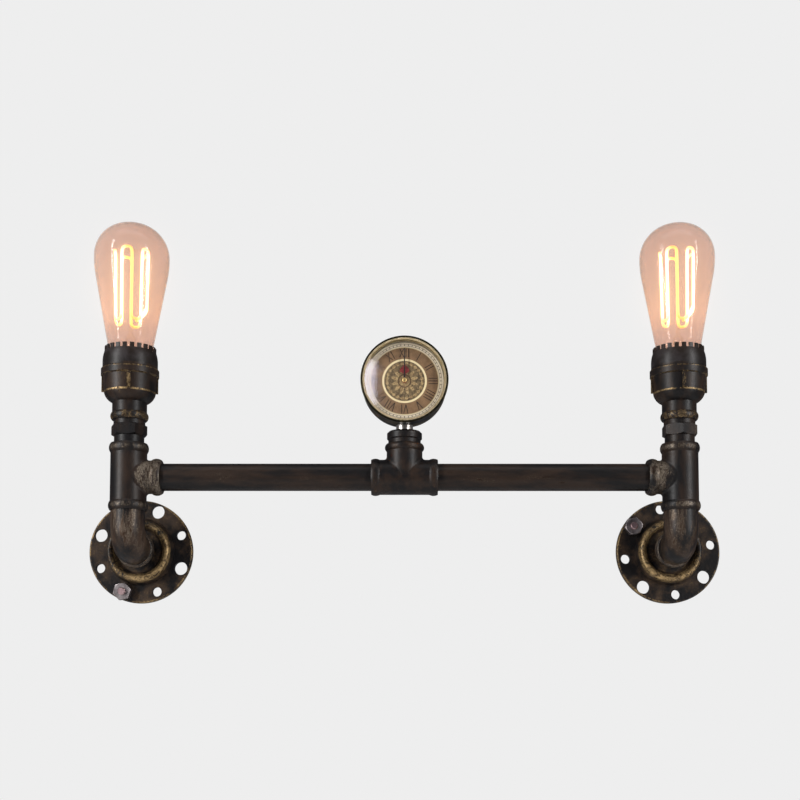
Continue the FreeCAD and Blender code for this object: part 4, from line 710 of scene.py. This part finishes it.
def filament_path(middle_x, facing, points=1600):
    """The wire's line. Its height is an arcsine wave between foot and head; its angle is a staircase that
    stands still on each strand and moves on by a high power at the crests; its ends dip towards the rod."""
    strand = np.linspace(END_CUT, STRANDS - END_CUT, points)
    place = 2 * (strand - np.floor(strand)) - 1
    stair = np.floor(strand) + 0.5 + np.sign(place) * np.abs(place) ** STAIR / 2
    wave = -np.arcsin(CREST * np.cos(np.pi * strand)) / math.asin(CREST)
    height = (FILAMENT_FOOT + FILAMENT_HEAD) / 2 + wave * (FILAMENT_HEAD - FILAMENT_FOOT) / 2
    angle = facing + 2 * math.pi / STRANDS * stair
    out = CAGE_FOOT + (CAGE_HEAD - CAGE_FOOT) * (wave + 1) / 2
    end = np.minimum(strand - strand[0], strand[-1] - strand)
    dip = np.clip(1 - end / DIP, 0, 1) ** 2
    out = out - dip * DIP_IN
    height = height - dip * DIP_DOWN
    return np.stack([middle_x + out * np.cos(angle), PIPE_Y + out * np.sin(angle), height], axis=-1)


def glow_paint(name):
    """White-hot flanks and a yellower front and back, as the real wire's strands glow unevenly."""
    material, shader, end, here = start_material(name)
    x, y, z = axes(here)
    across = (abs(x) - UPRIGHT_X) * math.cos(LAMP_TURN) - (y - PIPE_Y) * math.sin(LAMP_TURN)
    flank = abs(across).above(0.0050, 0.0016)
    cool = 1 - z.within(FILAMENT_FOOT + 0.003, FILAMENT_HEAD - 0.002, 0.006)
    heat = mix(flank, (0.20, 0.155, 0.040), (0.62, 0.46, 0.22))
    mix(cool * 0.8, heat, (0.14, 0.07, 0.016)).into(shader.inputs["Emission Color"])
    shader.inputs["Emission Strength"].default_value = 9.0
    shader.inputs["Base Color"].default_value = (0.9, 0.5, 0.2, 1.0)
    return material


glowing = glow_paint("glowing_wire")
dress(both("filament"), glowing)
for side, sign in zip(SIDES, (-1, 1)):
    path = filament_path(sign * UPRIGHT_X, -sign * LAMP_TURN)
    aside = path - np.array([sign * UPRIGHT_X, PIPE_Y, 0.0]) * [1, 1, 0] - path * [0, 0, 1]
    wire = skin(f"{side}_filament_wire", tube(path, aside + [0, 0, 0.002], WIRE, 8), f"{side}_lamp",
                "filament_wire", glowing)
    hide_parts(f"{side}_filament")
    run = np.linalg.norm(np.diff(path, axis=0), axis=1).sum()
    print(wire.name, "length", round(float(run), 3), "m")

# %% [markdown]
# ## The rolled caps
# An Edison cap is a tube with a round thread rolled into its wall, so its inside and outside wave together.
# The solid cap is plain, because its thread is a formula too: the radius is a cosine of the height in pitches
# less the turn. The wave dies out at the foot, where the wall turns in to grip the insulator.

# %% Roll the threads
PITCH = 0.00362                  # an E27 thread's pitch
CAP_MIDDLE = 0.01265             # the wall's outer radius between crest and root
THREAD = 0.00035                 # crest above that radius
CAP_WALL = 0.00045
CAP_CURL = 0.0006                # how far the foot turns in


def cap_rings(low, high, middle_x):
    """Rings up the outside, then down the inside, of a wall whose radius waves with height and turn."""
    rise = np.linspace(low, high, 96)[:, None]
    turn = np.linspace(0, 2 * math.pi, 48, endpoint=False)[None, :]
    foot = np.clip(1 - (rise - low) / 0.001, 0, 1)
    wave = THREAD * np.cos(2 * math.pi * rise / PITCH - turn)
    outer = CAP_MIDDLE + wave * (1 - foot) + (THREAD - CAP_CURL) * foot
    shells = []
    for radius in (outer, outer - CAP_WALL):
        shells.append(np.stack([middle_x + radius * np.cos(turn), PIPE_Y + radius * np.sin(turn),
                                rise + 0 * turn], axis=-1))
    return np.concatenate([shells[0], shells[1][::-1]])


for side, sign in zip(SIDES, (-1, 1)):
    low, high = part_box(f"{side}_bulb_cap")
    rings = cap_rings(low.z, high.z, sign * UPRIGHT_X)
    cap = skin(f"{side}_cap_thread", rings, f"{side}_lamp", "brass", brass, loop=True)
    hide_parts(f"{side}_bulb_cap")
    print(cap.name, "turns", round((high.z - low.z) / PITCH, 1))

# %% [markdown]
# ## The numerals
# Roman numerals are only straight strokes, so a text object with its font isn't needed. Each letter is a few
# slanted lines in a box one unit high; the box is bent onto the dial with its foot towards the middle.

# %% Set the numerals
DIAL_FACE = -0.0648
PRINT = 0.00004                  # thickness of the printed strokes
NUMERAL_FOOT = 0.0186            # radii of the numerals' feet and heads
NUMERAL_HEAD = 0.0257
STROKES = {"I": (0.30, [(0.15, 0.15)]),
           "V": (0.62, [(0.08, 0.31), (0.54, 0.31)]),
           "X": (0.62, [(0.08, 0.54), (0.54, 0.08)])}
HOURS = ["XII", "I", "II", "III", "IIII", "V", "VI", "VII", "VIII", "IX", "X", "XI"]


def numeral_lines(text):
    """The strokes of one numeral: (across at its head, across at its foot), centred on 0."""
    at = 0.0
    lines = []
    for letter in text:
        width, slants = STROKES[letter]
        lines += [(at + head, at + foot) for head, foot in slants]
        at += width
    return [(head - at / 2, foot - at / 2) for head, foot in lines]


def stroke_rings(hour, head, foot, half=0.00034):
    """One stroke as two rings of four points: a flat bar from its foot to its head. The rings run clockwise as
    seen from the head, so the faces of a stroke turn inwards."""
    angle = math.radians(30 * hour)
    outward = np.array([math.sin(angle), 0, math.cos(angle)])
    across = np.array([math.cos(angle), 0, -math.sin(angle)])
    size = NUMERAL_HEAD - NUMERAL_FOOT
    corners = [(-half, 0), (half, 0), (half, -PRINT), (-half, -PRINT)]
    rings = []
    for radius, place in ((NUMERAL_FOOT, foot), (NUMERAL_HEAD, head)):
        middle = np.array([0, DIAL_FACE, CLOCK_Z]) + outward * radius + across * place * size
        rings.append([middle + across * u + np.array([0, v, 0]) for u, v in corners])
    return np.array(rings)


ink = enamel("numeral_ink", (0.020, 0.012, 0.008), (0.05, 0.032, 0.02), 0.5)
bars = [stroke_rings(hour, head, foot)
        for hour, text in enumerate(HOURS) for head, foot in numeral_lines(text)]
skin("dial_numerals", np.array(bars), "clock_insert", "dial_print", ink, smooth=False)
print("strokes", len(bars))

# %% [markdown]
# ## Floor and light
# The photograph is a cut-out on pale grey. A pale round floor lies under the light and fades out at its rim,
# where it would otherwise draw an edge. Tall soft boxes at the left and right front give the upright streaks
# on the elbows and tees, a wide one above gives the shine along the bar, and a small one in front shows as the
# pale patch at the left of the clock's lens.

# %% Lay the floor
FLOOR_Z = -0.36
FLOOR_RADIUS = 1.1
FLOOR_SIDES = 96
BACKDROP = (0.855, 0.855, 0.855)
FLOOR_LIFT = (0.22, 0.22, 0.22)  # makes the paper paler to the camera and lights nothing


def lay_floor():
    """A disc that turns clear over the outer third of its radius."""
    turn = np.linspace(0, 2 * math.pi, FLOOR_SIDES, endpoint=False)
    level = np.full(FLOOR_SIDES, FLOOR_Z)
    rim = np.stack([FLOOR_RADIUS * np.cos(turn), FLOOR_RADIUS * np.sin(turn), level], axis=-1)
    mesh = bpy.data.meshes.new("floor")
    mesh.from_pydata(rim.tolist(), [], [list(range(FLOOR_SIDES))])
    material, shader, end, here = start_material("floor_paper")
    x, y, z = axes(here)
    shader.inputs["Roughness"].default_value = 0.8
    shader.inputs["Emission Strength"].default_value = 1.0
    mix(noise(here, 60, 3.0), (0.80, 0.80, 0.80), (0.84, 0.84, 0.84)).into(shader.inputs["Base Color"])
    seen = here.node("ShaderNodeLightPath", None, None, out="Is Camera Ray")
    mix(seen, (0.0, 0.0, 0.0), FLOOR_LIFT).into(shader.inputs["Emission Color"])
    let_through(1 - length(x, y).above(FLOOR_RADIUS * 0.82, FLOOR_RADIUS * 0.34), shader, end)
    mesh.materials.append(material)
    floor = bpy.data.objects.new("floor", mesh)
    bpy.context.scene.collection.objects.link(floor)


lay_floor()
print("floor at", FLOOR_Z, "m")

# %% Hang the lights
def soft_box(name, place, target, size, power, tint=(1.0, 1.0, 1.0)):
    """A rectangular lamp that faces its target."""
    lamp = bpy.data.lights.new(name, "AREA")
    lamp.shape = "RECTANGLE"
    lamp.size, lamp.size_y = size
    lamp.energy = power
    lamp.color = tint
    box = bpy.data.objects.new(name, lamp)
    box.location = place
    ahead = np.array(target, dtype=float) - np.array(place, dtype=float)
    pitch = math.atan2(math.hypot(ahead[0], ahead[1]), -ahead[2])
    box.rotation_euler = (pitch, 0, math.atan2(-ahead[0], ahead[1]))
    bpy.context.scene.collection.objects.link(box)


def light_world():
    """A pale backdrop for the camera and a dimmer room for everything else."""
    world = bpy.data.worlds.new("studio")
    bpy.context.scene.world = world
    world.use_nodes = True
    tree = world.node_tree
    seen = Wire(tree, tree.nodes.new("ShaderNodeLightPath").outputs["Is Camera Ray"])
    mix(seen, (0.085, 0.085, 0.095), BACKDROP).into(tree.nodes["Background"].inputs["Color"])


light_world()
soft_box("left_strip", (-1.25, -0.95, 0.35), (-0.1, 0, 0.05), (0.16, 1.5), 26)
soft_box("right_strip", (1.25, -0.95, 0.35), (0.1, 0, 0.05), (0.16, 1.5), 20)
soft_box("front_strip", (-0.10, -1.7, 0.514), (0, 0, 0.12), (0.07, 0.14), 0.50, (0.92, 0.88, 1.0))
soft_box("top_box", (0, -0.5, 1.5), (0, 0, 0), (1.8, 0.5), 5)
bpy.context.scene.view_settings.view_transform = "Standard"
print("four lamps")

# %% [markdown]
# ## The glow
# A camera's lens spreads the light of a filament over its neighbours. Cycles traces no lens, so a bloom is
# added to the finished picture: only what is far brighter than the paper spreads.

# %% Add the bloom
def add_bloom():
    """Render, bloom, output."""
    scene = bpy.context.scene
    scene.use_nodes = True
    tree = scene.node_tree
    tree.nodes.clear()
    layers = tree.nodes.new("CompositorNodeRLayers")
    bloom = tree.nodes.new("CompositorNodeGlare")
    bloom.glare_type = "BLOOM"
    bloom.inputs["Threshold"].default_value = 2.0
    bloom.inputs["Strength"].default_value = 0.85
    bloom.inputs["Size"].default_value = 0.10
    end = tree.nodes.new("CompositorNodeComposite")
    tree.links.new(layers.outputs["Image"], bloom.inputs["Image"])
    tree.links.new(bloom.outputs["Image"], end.inputs["Image"])


add_bloom()
print("bloom added")
